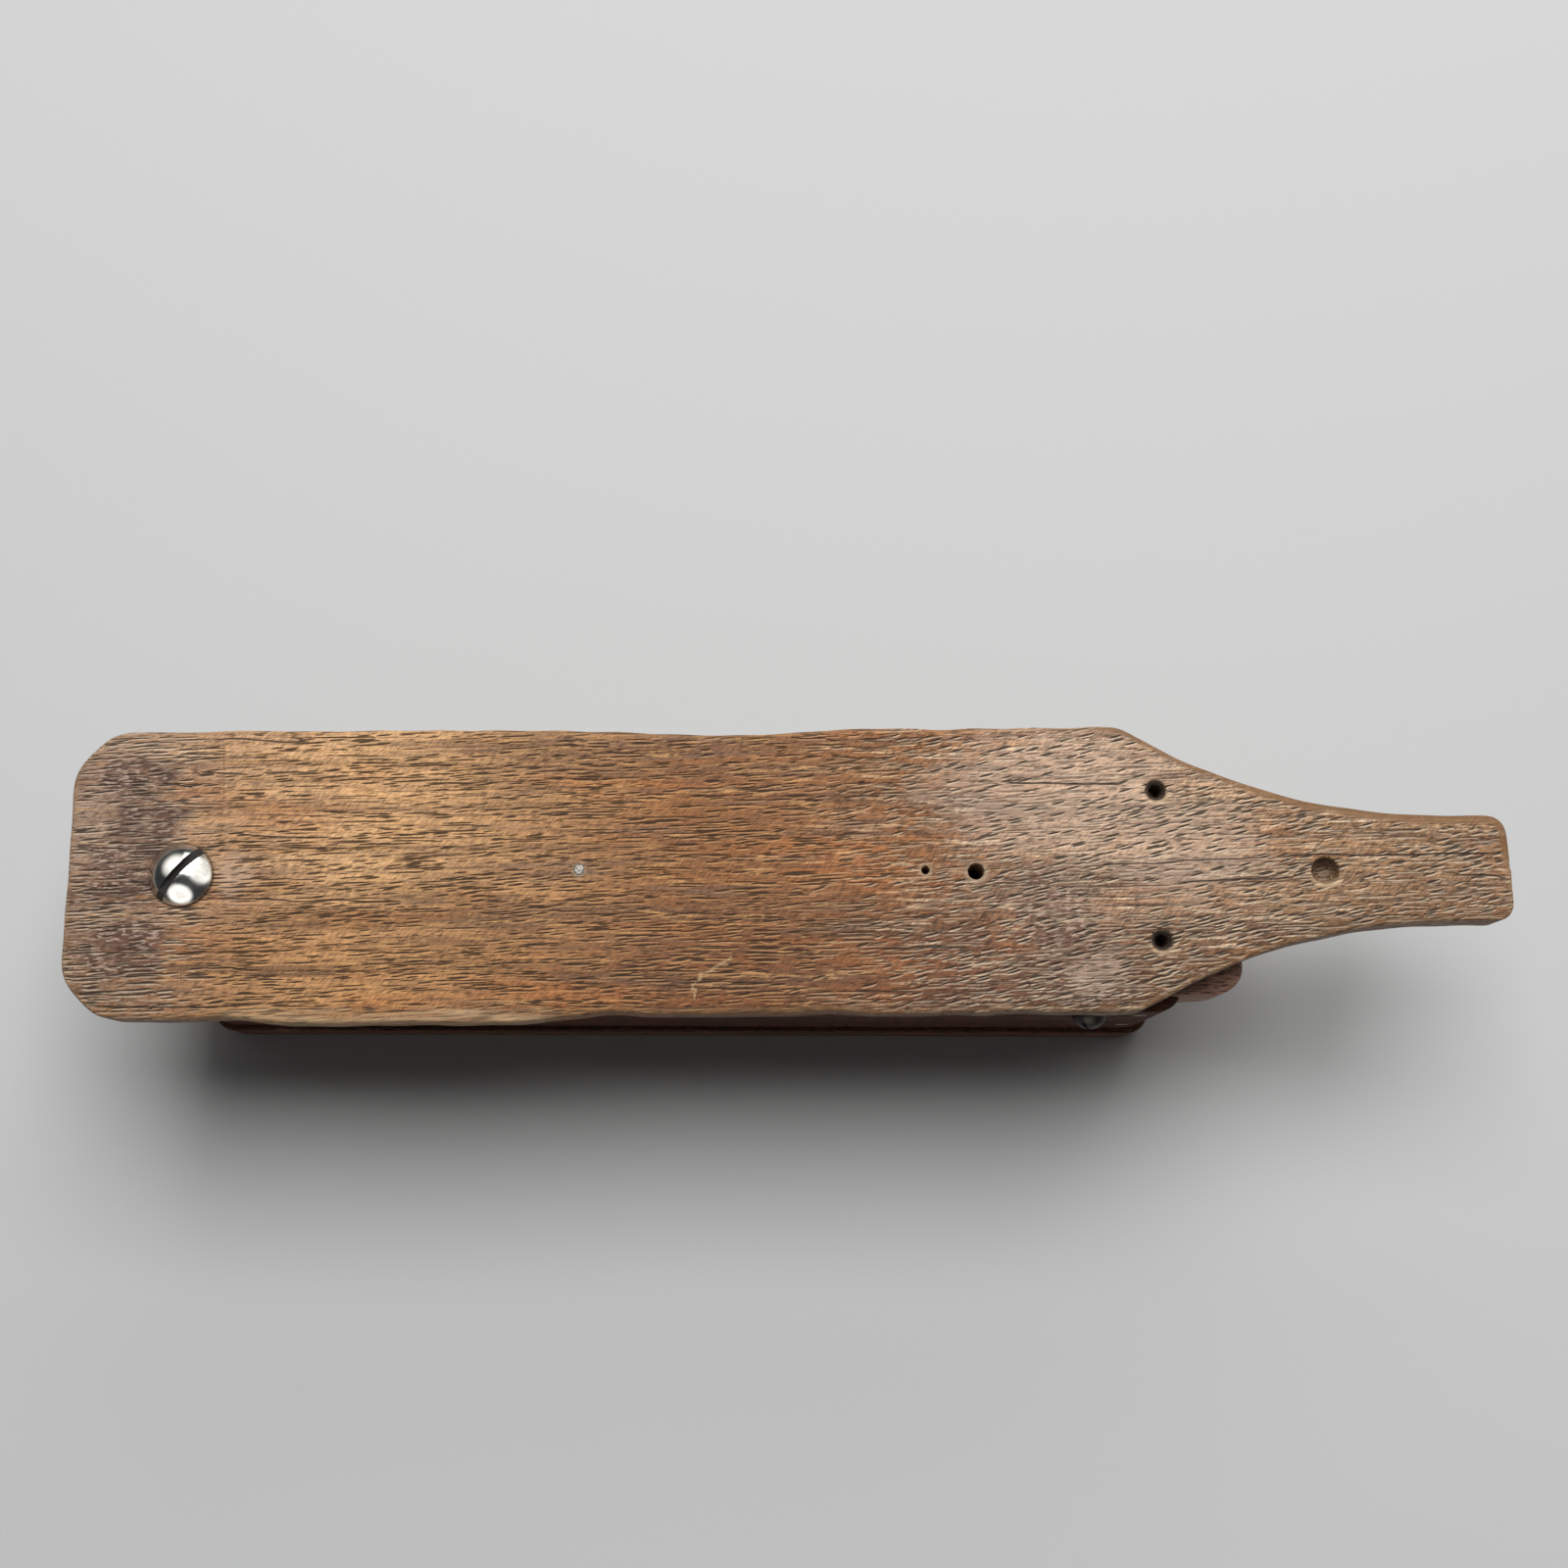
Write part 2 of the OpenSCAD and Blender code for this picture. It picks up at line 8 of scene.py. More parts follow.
import bmesh
import bpy
import numpy as np
from mathutils import Matrix, Vector
from mathutils.geometry import convex_hull_2d, delaunay_2d_cdt


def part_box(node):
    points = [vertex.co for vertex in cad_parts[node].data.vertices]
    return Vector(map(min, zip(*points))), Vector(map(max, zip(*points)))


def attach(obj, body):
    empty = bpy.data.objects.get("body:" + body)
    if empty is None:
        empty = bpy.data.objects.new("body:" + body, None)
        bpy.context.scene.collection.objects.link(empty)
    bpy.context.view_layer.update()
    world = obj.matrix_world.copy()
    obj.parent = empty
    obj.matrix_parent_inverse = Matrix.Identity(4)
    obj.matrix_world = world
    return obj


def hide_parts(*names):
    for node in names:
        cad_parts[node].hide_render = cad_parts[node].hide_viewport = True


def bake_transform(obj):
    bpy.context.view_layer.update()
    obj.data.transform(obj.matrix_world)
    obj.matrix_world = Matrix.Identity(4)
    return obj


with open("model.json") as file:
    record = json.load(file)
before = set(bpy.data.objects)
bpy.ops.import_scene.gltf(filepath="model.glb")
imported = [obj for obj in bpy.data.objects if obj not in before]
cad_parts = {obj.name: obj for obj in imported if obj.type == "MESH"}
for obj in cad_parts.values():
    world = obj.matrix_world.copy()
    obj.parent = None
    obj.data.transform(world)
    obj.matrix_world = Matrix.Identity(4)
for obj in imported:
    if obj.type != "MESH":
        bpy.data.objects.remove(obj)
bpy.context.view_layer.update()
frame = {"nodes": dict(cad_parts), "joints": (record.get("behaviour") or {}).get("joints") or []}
scene = bpy.context.scene
MM = 0.001


# Camera, light and floor
# The camera looks almost straight down from above the near side. A soft panel above the far side
# and a low window behind it light the box, in a room that is dark on the near side. Metal mirrors
# a dim room with three bright openings, and the camera sees pale grey behind the floor.
camera_place = Vector((20.4, -53.5, 396.3))
camera_tilt = math.radians(11.64)
camera_turn = math.radians(0.18)
camera_lens = 45.0
camera_sensor = 36.0
camera_clip = 0.01
floor_size = 3.0
fade_start = 0.3
fade_end = 0.8
backdrop_grey = "#BDBFBF"
floor_grey = "#D4D5D4"
room_stops = [(0.0, "#262626"), (0.5, "#9FA1A3"), (1.0, "#F4F7FA")]
room_strength = 0.22
mirror_dim = "#2C2F31"
mirror_bright = "#FFFFFF"
mirror_strength = 1.7
# Each opening that metal mirrors: its direction, and the cosine of the angle at its rim and core
openings = [((0.80, 0.34, 0.49), 0.70, 0.86), ((-0.14, -0.86, 0.49), 0.80, 0.90),
            ((-0.40, 0.50, 0.77), 0.74, 0.99)]
# Each lamp: its place, its size across and up, and its power
lamps = {"ceiling_panel": (Vector((0.08, 0.50, 1.20)), (0.95, 0.80), 15.5),
         "far_window": (Vector((0.35, 1.45, 0.80)), (1.2, 0.7), 5.0)}


def linear(code):
    """An sRGB hex colour as linear RGBA."""
    parts = [int(code[i:i + 2], 16) / 255 for i in (1, 3, 5)]
    return [p / 12.92 if p <= 0.04045 else ((p + 0.055) / 1.055) ** 2.4 for p in parts] + [1.0]


# Short words for the nodes that are used most, with their types and settings
node_words = {
    "plus": ("Math", {"operation": "ADD"}),
    "minus": ("Math", {"operation": "SUBTRACT"}),
    "times": ("Math", {"operation": "MULTIPLY"}),
    "times_plus": ("Math", {"operation": "MULTIPLY_ADD"}),
    "larger": ("Math", {"operation": "MAXIMUM"}),
    "below": ("Math", {"operation": "LESS_THAN"}),
    "absolute": ("Math", {"operation": "ABSOLUTE"}),
    "range": ("MapRange", {"interpolation_type": "SMOOTHSTEP"}),
    "line": ("MapRange", {}),
    "moved": ("VectorMath", {"operation": "ADD"}),
    "away": ("VectorMath", {"operation": "SUBTRACT"}),
    "scaled": ("VectorMath", {"operation": "MULTIPLY"}),
    "length": ("VectorMath", {"operation": "LENGTH"}),
    "distance": ("VectorMath", {"operation": "DISTANCE"}),
    "turned": ("VectorRotate", {"rotation_type": "Z_AXIS"}),
    "mix": ("Mix", {"data_type": "RGBA"}),
}


def adder(tree):
    """The function that adds nodes to one tree."""
    def add(kind, *values, stops=(), **settings):
        """Adds a shader node of a type or a short word. Its inputs come in order, or by name in
        a dictionary: numbers, hex colours, sockets, or nodes, whose first live output is used."""
        kind, preset = node_words.get(kind, (kind, {}))
        node = tree.nodes.new("ShaderNode" + kind)
        for name, value in {**preset, **settings}.items():
            setattr(node, name, value)
        live = [socket for socket in node.inputs if socket.enabled]
        pairs = zip(live, values)
        if values and isinstance(values[0], dict):
            by_name = {socket.name: socket for socket in reversed(live)}
            pairs = [(by_name[name], value) for name, value in values[0].items()]
        for socket, value in pairs:
            if isinstance(value, bpy.types.Node):
                value = next(s for s in value.outputs if s.enabled)
            if isinstance(value, bpy.types.NodeSocket):
                tree.links.new(value, socket)
            else:
                socket.default_value = linear(value) if isinstance(value, str) else value
        for i, (place, colour) in enumerate(stops):
            spots = node.color_ramp.elements
            spot = spots[i] if i < len(spots) else spots.new(place)
            spot.position = place
            spot.color = linear(colour)
        return node

    return add


def new_material(name):
    """A material with no nodes, and the function that adds them."""
    material = bpy.data.materials.new(name)
    material.use_nodes = True
    material.node_tree.nodes.clear()
    return material, adder(material.node_tree)


def placed(name, data):
    """An object of a mesh, a lamp or a camera, linked into the scene."""
    thing = bpy.data.objects.new(name, data)
    scene.collection.objects.link(thing)
    return thing


camera = placed("camera", bpy.data.cameras.new("camera"))
camera.data.sensor_width = camera_sensor
camera.data.lens = camera_lens
camera.location = camera_place * MM
camera.rotation_euler = (camera_tilt, 0, camera_turn)
camera.data.clip_start = camera_clip
scene.camera = camera
scene.view_settings.view_transform = "Standard"

world = bpy.data.worlds.new("soft_room")
world.use_nodes = True
world.node_tree.nodes.clear()
add = adder(world.node_tree)
toward = add("TexCoord").outputs["Generated"]
to_window = add("line", add("SeparateXYZ", toward).outputs["Y"], -1, 1)
room = add("Background", add("ValToRGB", to_window, stops=room_stops), room_strength)
bright = 0.0
for opening, rim, core in openings:
    near_it = add("VectorMath", toward, opening, operation="DOT_PRODUCT")
    bright = add("larger", add("range", near_it, rim, core), bright)
mirrored = add("Background", add("mix", bright, mirror_dim, mirror_bright), mirror_strength)
rays = add("LightPath")
seen = add("MixShader", rays.outputs["Is Glossy Ray"], room, mirrored)
seen = add("MixShader", rays.outputs["Is Camera Ray"], seen, add("Background", backdrop_grey))
add("OutputWorld", seen)
scene.world = world

for name, (place, size, power) in lamps.items():
    lamp = bpy.data.lights.new(name, "AREA")
    lamp.shape = "RECTANGLE"
    lamp.size, lamp.size_y = size
    lamp.energy = power
    window = placed(name, lamp)
    window.location = place
    window.rotation_euler = (-place).to_track_quat("-Z", "Y").to_euler()

floor_mesh = bpy.data.meshes.new("floor")
half = floor_size / 2
floor_corners = [(-half, -half, 0), (half, -half, 0), (half, half, 0), (-half, half, 0)]
floor_mesh.from_pydata(floor_corners, [], [(0, 1, 2, 3)])
floor = placed("floor", floor_mesh)

# Matt pale floor paint, rolled on: an even surface with no sheen of its own. Far from the box the
# camera sees it run into the backdrop, so that no other view has a hard horizon.
floor_paint, add = new_material("floor_paint_rolled_matt")
paint = add("BsdfPrincipled", {"Base Color": floor_grey, "Roughness": 0.9, "Specular IOR Level": 0.05})
far = add("length", add("TexCoord").outputs["Object"])
faded = add("times", add("range", far, fade_start, fade_end),
            add("LightPath").outputs["Is Camera Ray"])
shown = add("MixShader", faded, paint, add("Emission", backdrop_grey))
add("OutputMaterial", shown)
floor_mesh.materials.append(floor_paint)


# Paddle lid
# One plank of open-pored hardwood, sawn to the paddle's outline and oiled, now worn by hands:
# its edges are rolled over, its far edge has a thumb hollow, and its holes have worn rims.
# Its underside is crowned across, so that it rubs the lips of the box along a line.
random.seed(7)
outline_step = 0.8
grid_step = 1.9
round_rows = 5
wall_rows = 3
hole_points = 40
level_gap = 0.01
place_digits = 3
weld_gap = 1e-5
sliver = 1e-3
rim_clear_share = 0.55
hole_clear_share = 0.5
wall_wear = 0.25
sharp_turn = math.radians(42)
crown_rise = 0.8
edge_round_top = 0.6
edge_round_under = 0.4
edge_round_wave = 0.15
edge_round_waves = 7
handle_round = 0.8
edge_fullness = 0.12
top_swell = 0.05
long_swell = (13.0, 7.0)
long_swell_start = 0.6
short_swell = (5.1, 4.3)
short_swell_share = 0.5
edge_sag = 0.16
edge_sag_reach = 2.6
near_corner_wear = 0.75
handle_lean = 0.35
corner_passes = 10
# Where along or across the lid each form begins and is full, from the lid's middle
near_corner_along = (-88, -98)
near_corner_across = (0, -20)
handle_along = (60, 100)
handle_round_along = (62, 92)
corners_along = (-112, -118)
# Waves that wear has left in the edge: the length, height and start of each, drawn by chance
wave_ranges = [(8, 60), (0.015, 0.045), (0, 6.28)]
wave_count = 9
edge_waves = [[random.uniform(*limits) for limits in wave_ranges] for _ in range(wave_count)]


def cad_points(node):
    """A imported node's corners in millimetres."""
    return np.array([v.co for v in frame["nodes"][node].data.vertices]) / MM


def rim_loops(node, axis, level):
    """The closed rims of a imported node's flat face at that level, as loops in the other two axes."""
    mesh = frame["nodes"][node].data
    points = cad_points(node)
    others = [i for i in range(3) if i != axis]
    uses = {}
    near_level = np.abs(points[:, axis] - level) < level_gap
    for face in mesh.polygons:
        if not all(near_level[i] for i in face.vertices):
            continue
        keys = [tuple(np.round(points[i][others], place_digits)) for i in face.vertices]
        for a, b in zip(keys, keys[1:] + keys[:1]):
            uses[(a, b)] = uses.get((a, b), 0) + 1
    after = {a: b for (a, b) in uses if (b, a) not in uses and a != b}
    loops = []
    while after:
        start, spot = next(iter(after.items()))
        del after[start]
        loop = [start]
        while spot != start and spot in after:
            loop.append(spot)
            spot = after.pop(spot)
        loops.append(np.array(loop))
    loops.sort(key=lambda p: -np.ptp(p[:, 0]))
    return loops


def resample(loop, step):
    """The loop with evenly spaced points, running anticlockwise."""
    u, v = loop.T
    if (u * np.roll(v, -1) - v * np.roll(u, -1)).sum() < 0:
        loop = loop[::-1]
    closed = np.vstack([loop, loop[:1]])
    reach = np.concatenate([[0], np.cumsum(np.linalg.norm(np.diff(closed, axis=0), axis=1))])
    count = int(reach[-1] / step)
    places = np.linspace(0, reach[-1], count, endpoint=False)
    return np.column_stack([np.interp(places, reach, closed[:, i]) for i in (0, 1)])


def smooth_loop(loop, passes=1):
    """Takes the small corners of its facets out of a loop."""
    for _ in range(passes):
        loop = (np.roll(loop, 1, 0) + 2 * loop + np.roll(loop, -1, 0)) / 4
    return loop


def outward(loop):
    """Unit normals of an anticlockwise loop."""
    run = np.roll(loop, -1, 0) - np.roll(loop, 1, 0)
    normal = np.column_stack([run[:, 1], -run[:, 0]])
    return normal / np.linalg.norm(normal, axis=1)[:, None]


def ring_points(centre, radius):
    """The points of a hole's rim."""
    turns = np.arange(hole_points) * 2 * math.pi / hole_points
    return np.column_stack([centre[0] + radius * np.cos(turns), centre[1] + radius * np.sin(turns)])


def nearest(points, loop):
    """Distance from each point to the nearest point of a loop."""
    return np.array([np.linalg.norm(loop - point, axis=1).min() for point in points])


def inside(points, loop):
    """Which points lie inside a loop."""
    hit = np.zeros(len(points), bool)
    for (ax, ay), (bx, by) in zip(loop, np.roll(loop, -1, 0)):
        if ay == by:
            continue
        cross = (ay > points[:, 1]) != (by > points[:, 1])
        hit ^= cross & (points[:, 0] < (bx - ax) * (points[:, 1] - ay) / (by - ay) + ax)
    return hit


def plank(name, outline, holes, top, under, round_top, round_under, place, step=grid_step):
    """A solid plank with rolled edges. The outline and holes are seen from its top, in millimetres.
    A hole is (centre, [(radius, depth), ...], whether it goes through). top and under give the
    heights of the two faces, and place turns (u, v, height) into a point of the frame."""
    verts, faces, wear = [], [], []

    def put(points, heights, worn):
        """Adds points, with how worn they are, and gives their numbers."""
        start = len(verts)
        verts.extend(zip(points[:, 0], points[:, 1], heights))
        wear.extend(np.broadcast_to(worn, len(points)))
        return np.arange(start, start + len(points))

    def stitch(a, b):
        """Joins two rings of points with faces."""
        faces.extend(zip(a, np.roll(a, -1), np.roll(b, -1), b))

    def roll(height, size, sign):
        """The rings of a rolled edge, from the rim of the face to the side."""
        rings = []
        for k in range(round_rows + 1):
            turn = math.pi / 2 * (1 - k / round_rows)
            loop = outline - outward(outline) * (size * (1 - math.cos(turn)))[:, None]
            rings.append((loop, height(loop) + sign * size * (1 - math.sin(turn)), 1.0))
        return rings

    above = roll(top, np.broadcast_to(round_top, len(outline)), -1)
    below = roll(under, np.broadcast_to(round_under, len(outline)), 1)[::-1]
    drops = [k / wall_rows for k in range(1, wall_rows)]
    wall = [(outline, above[-1][1] * (1 - drop) + below[0][1] * drop, wall_wear) for drop in drops]
    rings = above + wall + below
    ids = [put(*ring) for ring in rings]
    for a, b in zip(ids, ids[1:]):
        stitch(b, a)

    def sheet(loop, loop_ids, height, bores, up):
        """Fills one face with triangles, and gives the numbers of the points of its bores' rims."""
        low_corner, high_corner = loop.min(0), loop.max(0)
        grid = np.array([(u, v) for u in np.arange(low_corner[0], high_corner[0], step)
                         for v in np.arange(low_corner[1], high_corner[1], step)])
        grid = grid[inside(grid, loop) & (nearest(grid, loop) > step * rim_clear_share)]
        points, known = loop, loop_ids
        edges = [(i, (i + 1) % len(loop)) for i in range(len(loop))]
        rims = []
        for centre, radius in bores:
            rim = ring_points(centre, radius)
            rims.append(put(rim, height(rim), 0))
            edges += [(len(points) + i, len(points) + (i + 1) % len(rim)) for i in range(len(rim))]
            points, known = np.vstack([points, rim]), np.append(known, rims[-1])
            gap = np.linalg.norm(grid - centre, axis=1) - radius
            grid = grid[gap > step * hole_clear_share]
        points, known = np.vstack([points, grid]), np.append(known, put(grid, height(grid), 0))
        filled = delaunay_2d_cdt([Vector(p) for p in points], edges, [], 0, weld_gap)
        triangles = [[filled[3][i][0] for i in triangle] for triangle in filled[2]]
        # Only triangles between the outline and the rims stay. A sliver has its middle on the outline.
        middles = points[triangles].mean(1)
        kept = inside(middles, loop - outward(loop) * sliver)
        for centre, radius in bores:
            kept &= np.linalg.norm(middles - centre, axis=1) > radius
        for corners in known[triangles][kept]:
            faces.append(corners if up else corners[::-1])
        return rims

    top_bores = [(centre, profile[0][0]) for centre, profile, _ in holes]
    under_bores = [(centre, profile[-1][0]) for centre, profile, through in holes if through]
    top_rims = sheet(rings[0][0], ids[0], top, top_bores, True)
    under_rims = sheet(rings[-1][0], ids[-1], under, under_bores, False)
    for (centre, profile, through), last in zip(holes, top_rims):
        for radius, depth in profile[1:-1] if through else profile[1:]:
            loop = ring_points(centre, radius)
            fresh = put(loop, top(loop) - depth, 0)
            stitch(fresh, last)
            last = fresh
        if through:
            stitch(under_rims.pop(0), last)
        else:
            faces.append(last)
    mesh = bpy.data.meshes.new(name)
    mesh.from_pydata(place(np.array(verts)) * MM, [], faces)
    worn = mesh.attributes.new("edge_wear", "FLOAT", "POINT")
    worn.data.foreach_set("value", np.array(wear, np.float32))
    work = bmesh.new()
    work.from_mesh(mesh)
    bmesh.ops.recalc_face_normals(work, faces=work.faces)
    work.to_mesh(mesh)
    work.free()
    mesh.shade_smooth()
    mesh.set_sharp_from_angle(angle=sharp_turn)
    return placed(name, mesh)


def box_corners(node):
    """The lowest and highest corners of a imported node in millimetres."""
    return [np.array(corner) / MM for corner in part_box(node)]


def ramp(values, start, full):
    """A share that rises from 0 at start to 1 at full."""
    return np.clip((values - start) / (full - start), 0, 1)


lid_under_z, lid_top_z = (corner[2] for corner in box_corners("lid"))
lid_t = lid_top_z - lid_under_z
joints = {joint["name"]: joint for joint in frame["joints"]}
tip_axis = joints["lid_tip"]["axis"]
lid_turn = math.atan2(tip_axis[0], -tip_axis[1])
pivot = np.array(joints["lid_swing"]["pos_m"]) / MM
along_lid = np.array([math.cos(lid_turn), math.sin(lid_turn)])
across_lid = np.array([-math.sin(lid_turn), math.cos(lid_turn)])

lid_rims = rim_loops("lid", 2, lid_top_z)
lid_outline = smooth_loop(resample(lid_rims[0], outline_step), passes=2)
reach = np.arange(len(lid_outline)) * outline_step
whole = len(lid_outline) * outline_step
wave = sum(size * np.sin(2 * math.pi * reach * round(whole / length) / whole + start)
           for length, size, start in edge_waves)
lid_outline = lid_outline + outward(lid_outline) * (wave + edge_fullness)[:, None]
from_pivot = lid_outline - pivot[:2]
lid_half = np.abs(from_pivot @ across_lid).max()
crown_radius = (lid_half ** 2 + crown_rise ** 2) / (2 * crown_rise)
lid_run = from_pivot @ along_lid
lid_middle = pivot[:2] + along_lid * (lid_run.max() + lid_run.min()) / 2


def lid_place(points):
    """Points of the frame's plan as places along and across the lid, from its middle."""
    return np.column_stack([(points - lid_middle) @ along_lid, (points - lid_middle) @ across_lid])


# The near edge is worn back at its hinge corner, and the handle leans a little to the far side
along, across = lid_place(lid_outline).T
worn_back = near_corner_wear * ramp(along, *near_corner_along) * ramp(across, *near_corner_across)
leant = handle_lean * ramp(along, *handle_along)
lid_outline = lid_outline + across_lid * (worn_back + leant)[:, None]
at_corners = ramp(along, *corners_along)[:, None]
lid_outline = lid_outline * (1 - at_corners) + smooth_loop(lid_outline, corner_passes) * at_corners


def lid_top(points):
    """The height of the lid's top, which swells a little and sags towards its edge."""
    u, v = lid_place(points).T
    swell = np.sin(u / long_swell[0] + long_swell_start) * np.cos(v / long_swell[1])
    swell = swell + short_swell_share * np.sin(u / short_swell[0] + v / short_swell[1])
    sag = edge_sag * np.exp(-nearest(points, lid_outline) / edge_sag_reach)
    return lid_top_z - top_swell + top_swell * swell - sag


def lid_under(points):
    """The height of the crowned underside."""
    v = lid_place(points)[:, 1]
    return lid_under_z + crown_radius - np.sqrt(crown_radius ** 2 - v ** 2)


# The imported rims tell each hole's place, and their radii which hole it is. Each kind of hole has
# that radius, its worn profile of (radius, depth) pairs, and whether it goes through.
deep = 7.0
hole_shapes = {
    "screw": (3.45, [(3.65, 0), (3.45, 0.2), (3.45, deep), (3.45, lid_t)], True),
    "nail": (0.95, [(1.0, 0), (0.95, 0.06), (0.95, 6.05)], False),
    "small": (0.7, [(0.95, 0), (0.78, 0.08), (0.7, 0.3), (0.7, deep), (0.7, lid_t)], True),
    "centre": (1.4, [(1.72, 0), (1.5, 0.1), (1.4, 0.4), (1.4, deep), (1.4, lid_t)], True),
    "cord": (2.1, [(2.3, 0), (2.0, 0.12), (1.6, 0.45), (1.2, 0.85), (1.1, 1.1), (1.1, deep),
                   (1.1, lid_t)], True),
    "handle": (2.4, [(2.62, 0), (2.42, 0.14), (2.3, 0.6), (2.0, 1.6), (1.4, 2.25), (0.6, 2.5)],
               False),
}


def rim_circle(rim):
    """The centre and radius of a hole's rim."""
    centre = (rim.min(0) + rim.max(0)) / 2
    return centre, np.linalg.norm(rim - centre, axis=1).mean()


lid_holes = []
hole_places = {}
for rim in lid_rims[1:]:
    centre, radius = rim_circle(rim)
    kind = min(hole_shapes, key=lambda k: abs(hole_shapes[k][0] - radius))
    lid_holes.append((centre, hole_shapes[kind][1], hole_shapes[kind][2]))
    hole_places.setdefault(kind, []).append(lid_place(centre[None])[0])

handle_far = ramp(along, *handle_round_along) * (across > 0)
lid_round = (edge_round_top + handle_round * handle_far
             + edge_round_wave * np.sin(2 * math.pi * reach * edge_round_waves / whole))
lid_board = plank("lid_board", lid_outline, lid_holes, lid_top, lid_under, lid_round,
                  edge_round_under, lambda p: p)
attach(lid_board, "lid")
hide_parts("lid")


# A dash is this share of its cell, and ends between two distances from the cell's middle. A patch
# fades between two shares of its size, and its rim swings by another. A line is solid to its core
# and narrows from its taper, as shares of its half width and half length.
dash_share = 0.72
dash_rim = (0.4, 0.28)
patch_rim = (1.05, 0.55)
patch_swing = 1.1
line_core = 1 / 3
line_taper = 0.8


def in_millimetres(add, turn=0.0, shift=(0, 0, 0)):
    """The place on a piece in millimetres, turned and shifted to lie along its grain."""
    return add("Mapping", {"Vector": add("TexCoord").outputs["Object"], "Location": shift,
                           "Rotation": (0, 0, turn), "Scale": (1 / MM, 1 / MM, 1 / MM)})


def streaks(add, spot, length, width, detail=3.0, shift=(0, 0, 0)):
    """Noise drawn out along the grain: patches of about that length and width in millimetres."""
    drawn = add("moved", add("scaled", spot, (1 / length, 1 / width, 1 / width)), shift)
    return add("TexNoise", {"Vector": drawn, "Scale": 1.0, "Detail": detail})


def swing(add, noise, width):
    """Noise as a swing to both sides, of that width in all."""
    return add("times_plus", noise, width, -width / 2)


def bent(add, spot, length, width, amount):
    """The same place with its lines of grain bent sideways by that many millimetres."""
    side = swing(add, streaks(add, spot, length, width, 2.0), 2 * amount)
    return add("moved", spot, add("CombineXYZ", {"Y": side, "Z": side}))


def pores(add, spot, length, width, share, slant=0.0, shift=(0, 0, 0)):
    """Open pores cut along the grain: dashes of about that length and width in millimetres, each in
    a cell of its own. Only that share of the cells holds one."""
    level = add("turned", {"Vector": spot, "Angle": -math.radians(slant)})
    cell = add("scaled", level, (dash_share / length, dash_share / width, dash_share / width))
    cells = add("TexVoronoi", {"Vector": add("moved", cell, shift), "Scale": 1.0})
    core = add("range", cells.outputs["Distance"], *dash_rim)
    lot = add("SeparateColor", cells.outputs["Color"])
    return add("times", core, add("below", lot, share))


def zone(add, spot, centre, size, ragged):
    """A soft-edged oval patch around a place, its rim broken up by noise."""
    gap = add("away", spot, (*centre, 0))
    far = add("length", add("scaled", gap, (1 / size[0], 1 / size[1], 0)))
    return add("range", add("plus", far, swing(add, ragged, patch_swing)), *patch_rim)


def mark(add, spot, start, end, width, wobble):
    """A thin line from one place to another, such as a crack, a long pore or a scratch."""
    run = Vector(end) - Vector(start)
    half = run.length / 2
    gap = add("away", spot, (*(Vector(start) + Vector(end)) / 2, 0))
    place = add("SeparateXYZ", add("turned", {"Vector": gap, "Angle": -math.atan2(run[1], run[0])}))
    side = add("absolute", add("plus", place.outputs["Y"], wobble))
    slim = add("range", side, width / 2, width / 2 * line_core)
    ends = add("absolute", place.outputs["X"])
    return add("times", slim, add("range", ends, half, half * line_taper))


def stained(add, colour, *stains):
    """A colour with stains laid over it: where each one lies, how strong it is, and its colour."""
    for where, strength, tone in stains:
        colour = add("mix", add("times", where, strength), colour, tone)
    return colour


# Walnut-like hardwood, planed and oiled, then worn dry: orange-brown to greyish tan with dark
# streaks. Open pores show as dark dashes, each with a pale lip on its near side that is a painted
# highlight, where light from the far side would catch the pore's wall. Hands have greyed the ends.
# A pore is really 0.1 to 0.3 mm wide. The finest ones are drawn at 0.22 mm so that they show.
walnut, add = new_material("walnut_oiled_hand_worn")
middle_shift = Matrix.Rotation(-lid_turn, 3, "Z") @ -Vector((*lid_middle, 0))
spot = in_millimetres(add, -lid_turn, middle_shift)
grain = bent(add, spot, 60, 16, 1.6)
parts = add("SeparateXYZ", spot)
along, across, height = (parts.outputs[axis] for axis in "XYZ")

# Colour along the lid, with dark and light streaks over it. Light is painted across the lid: it is
# lighter to the far side, which faces the lamps, and darker and warmer to the near side as painted
# shade.
ragged = streaks(add, spot, 9, 4, 5.0, (5, 5, 5))
right = add("range", add("plus", along, add("times", ragged, 30)), 10, 50)
by_length = add("ValToRGB", add("line", along, -127, 127), stops=[
    (0.0, "#C4A68C"), (0.09, "#B8906D"), (0.2, "#D6A775"), (0.42, "#8B5727"), (0.6, "#89572A"),
    (0.7, "#BF997A"), (0.86, "#A37E5A"), (1.0, "#926C4C")])
# Painted light and shade: lighter to the far side, multiplied darker to the near side
colour = add("scaled", by_length, add("line", across, 0, 22, 1.0, 1.08))
near_tone = add("mix", right, "#E0D2BF", "#9E8A74")
colour = add("mix", add("range", across, 4, -18), colour, near_tone, blend_type="MULTIPLY")
pale_streak = streaks(add, grain, 9, 0.7, 4.0, (4, 2, 8))
pale_tone = add("mix", right, "#CF9A5E", "#E2C5A4")
for streak, low, high, strength, tone in (
        (streaks(add, grain, 70, 3.2, 4.0), 0.44, 0.66, 0.68, "#593A20"),
        (streaks(add, grain, 34, 9, 3.0, (7, 3, 1)), 0.48, 0.72, 0.4, "#A9642B"),
        (streaks(add, grain, 30, 1.8, 4.0, (2, 9, 4)), 0.52, 0.74, 0.65, "#6A5240"),
        (pale_streak, 0.52, 0.72, 0.7, pale_tone),
        (streaks(add, grain, 40, 0.4, 3.0, (3, 8, 2)), 0.56, 0.68, 0.65, "#4A2F1C")):
    colour = add("mix", add("range", streak, low, high, 0, strength), colour, tone)
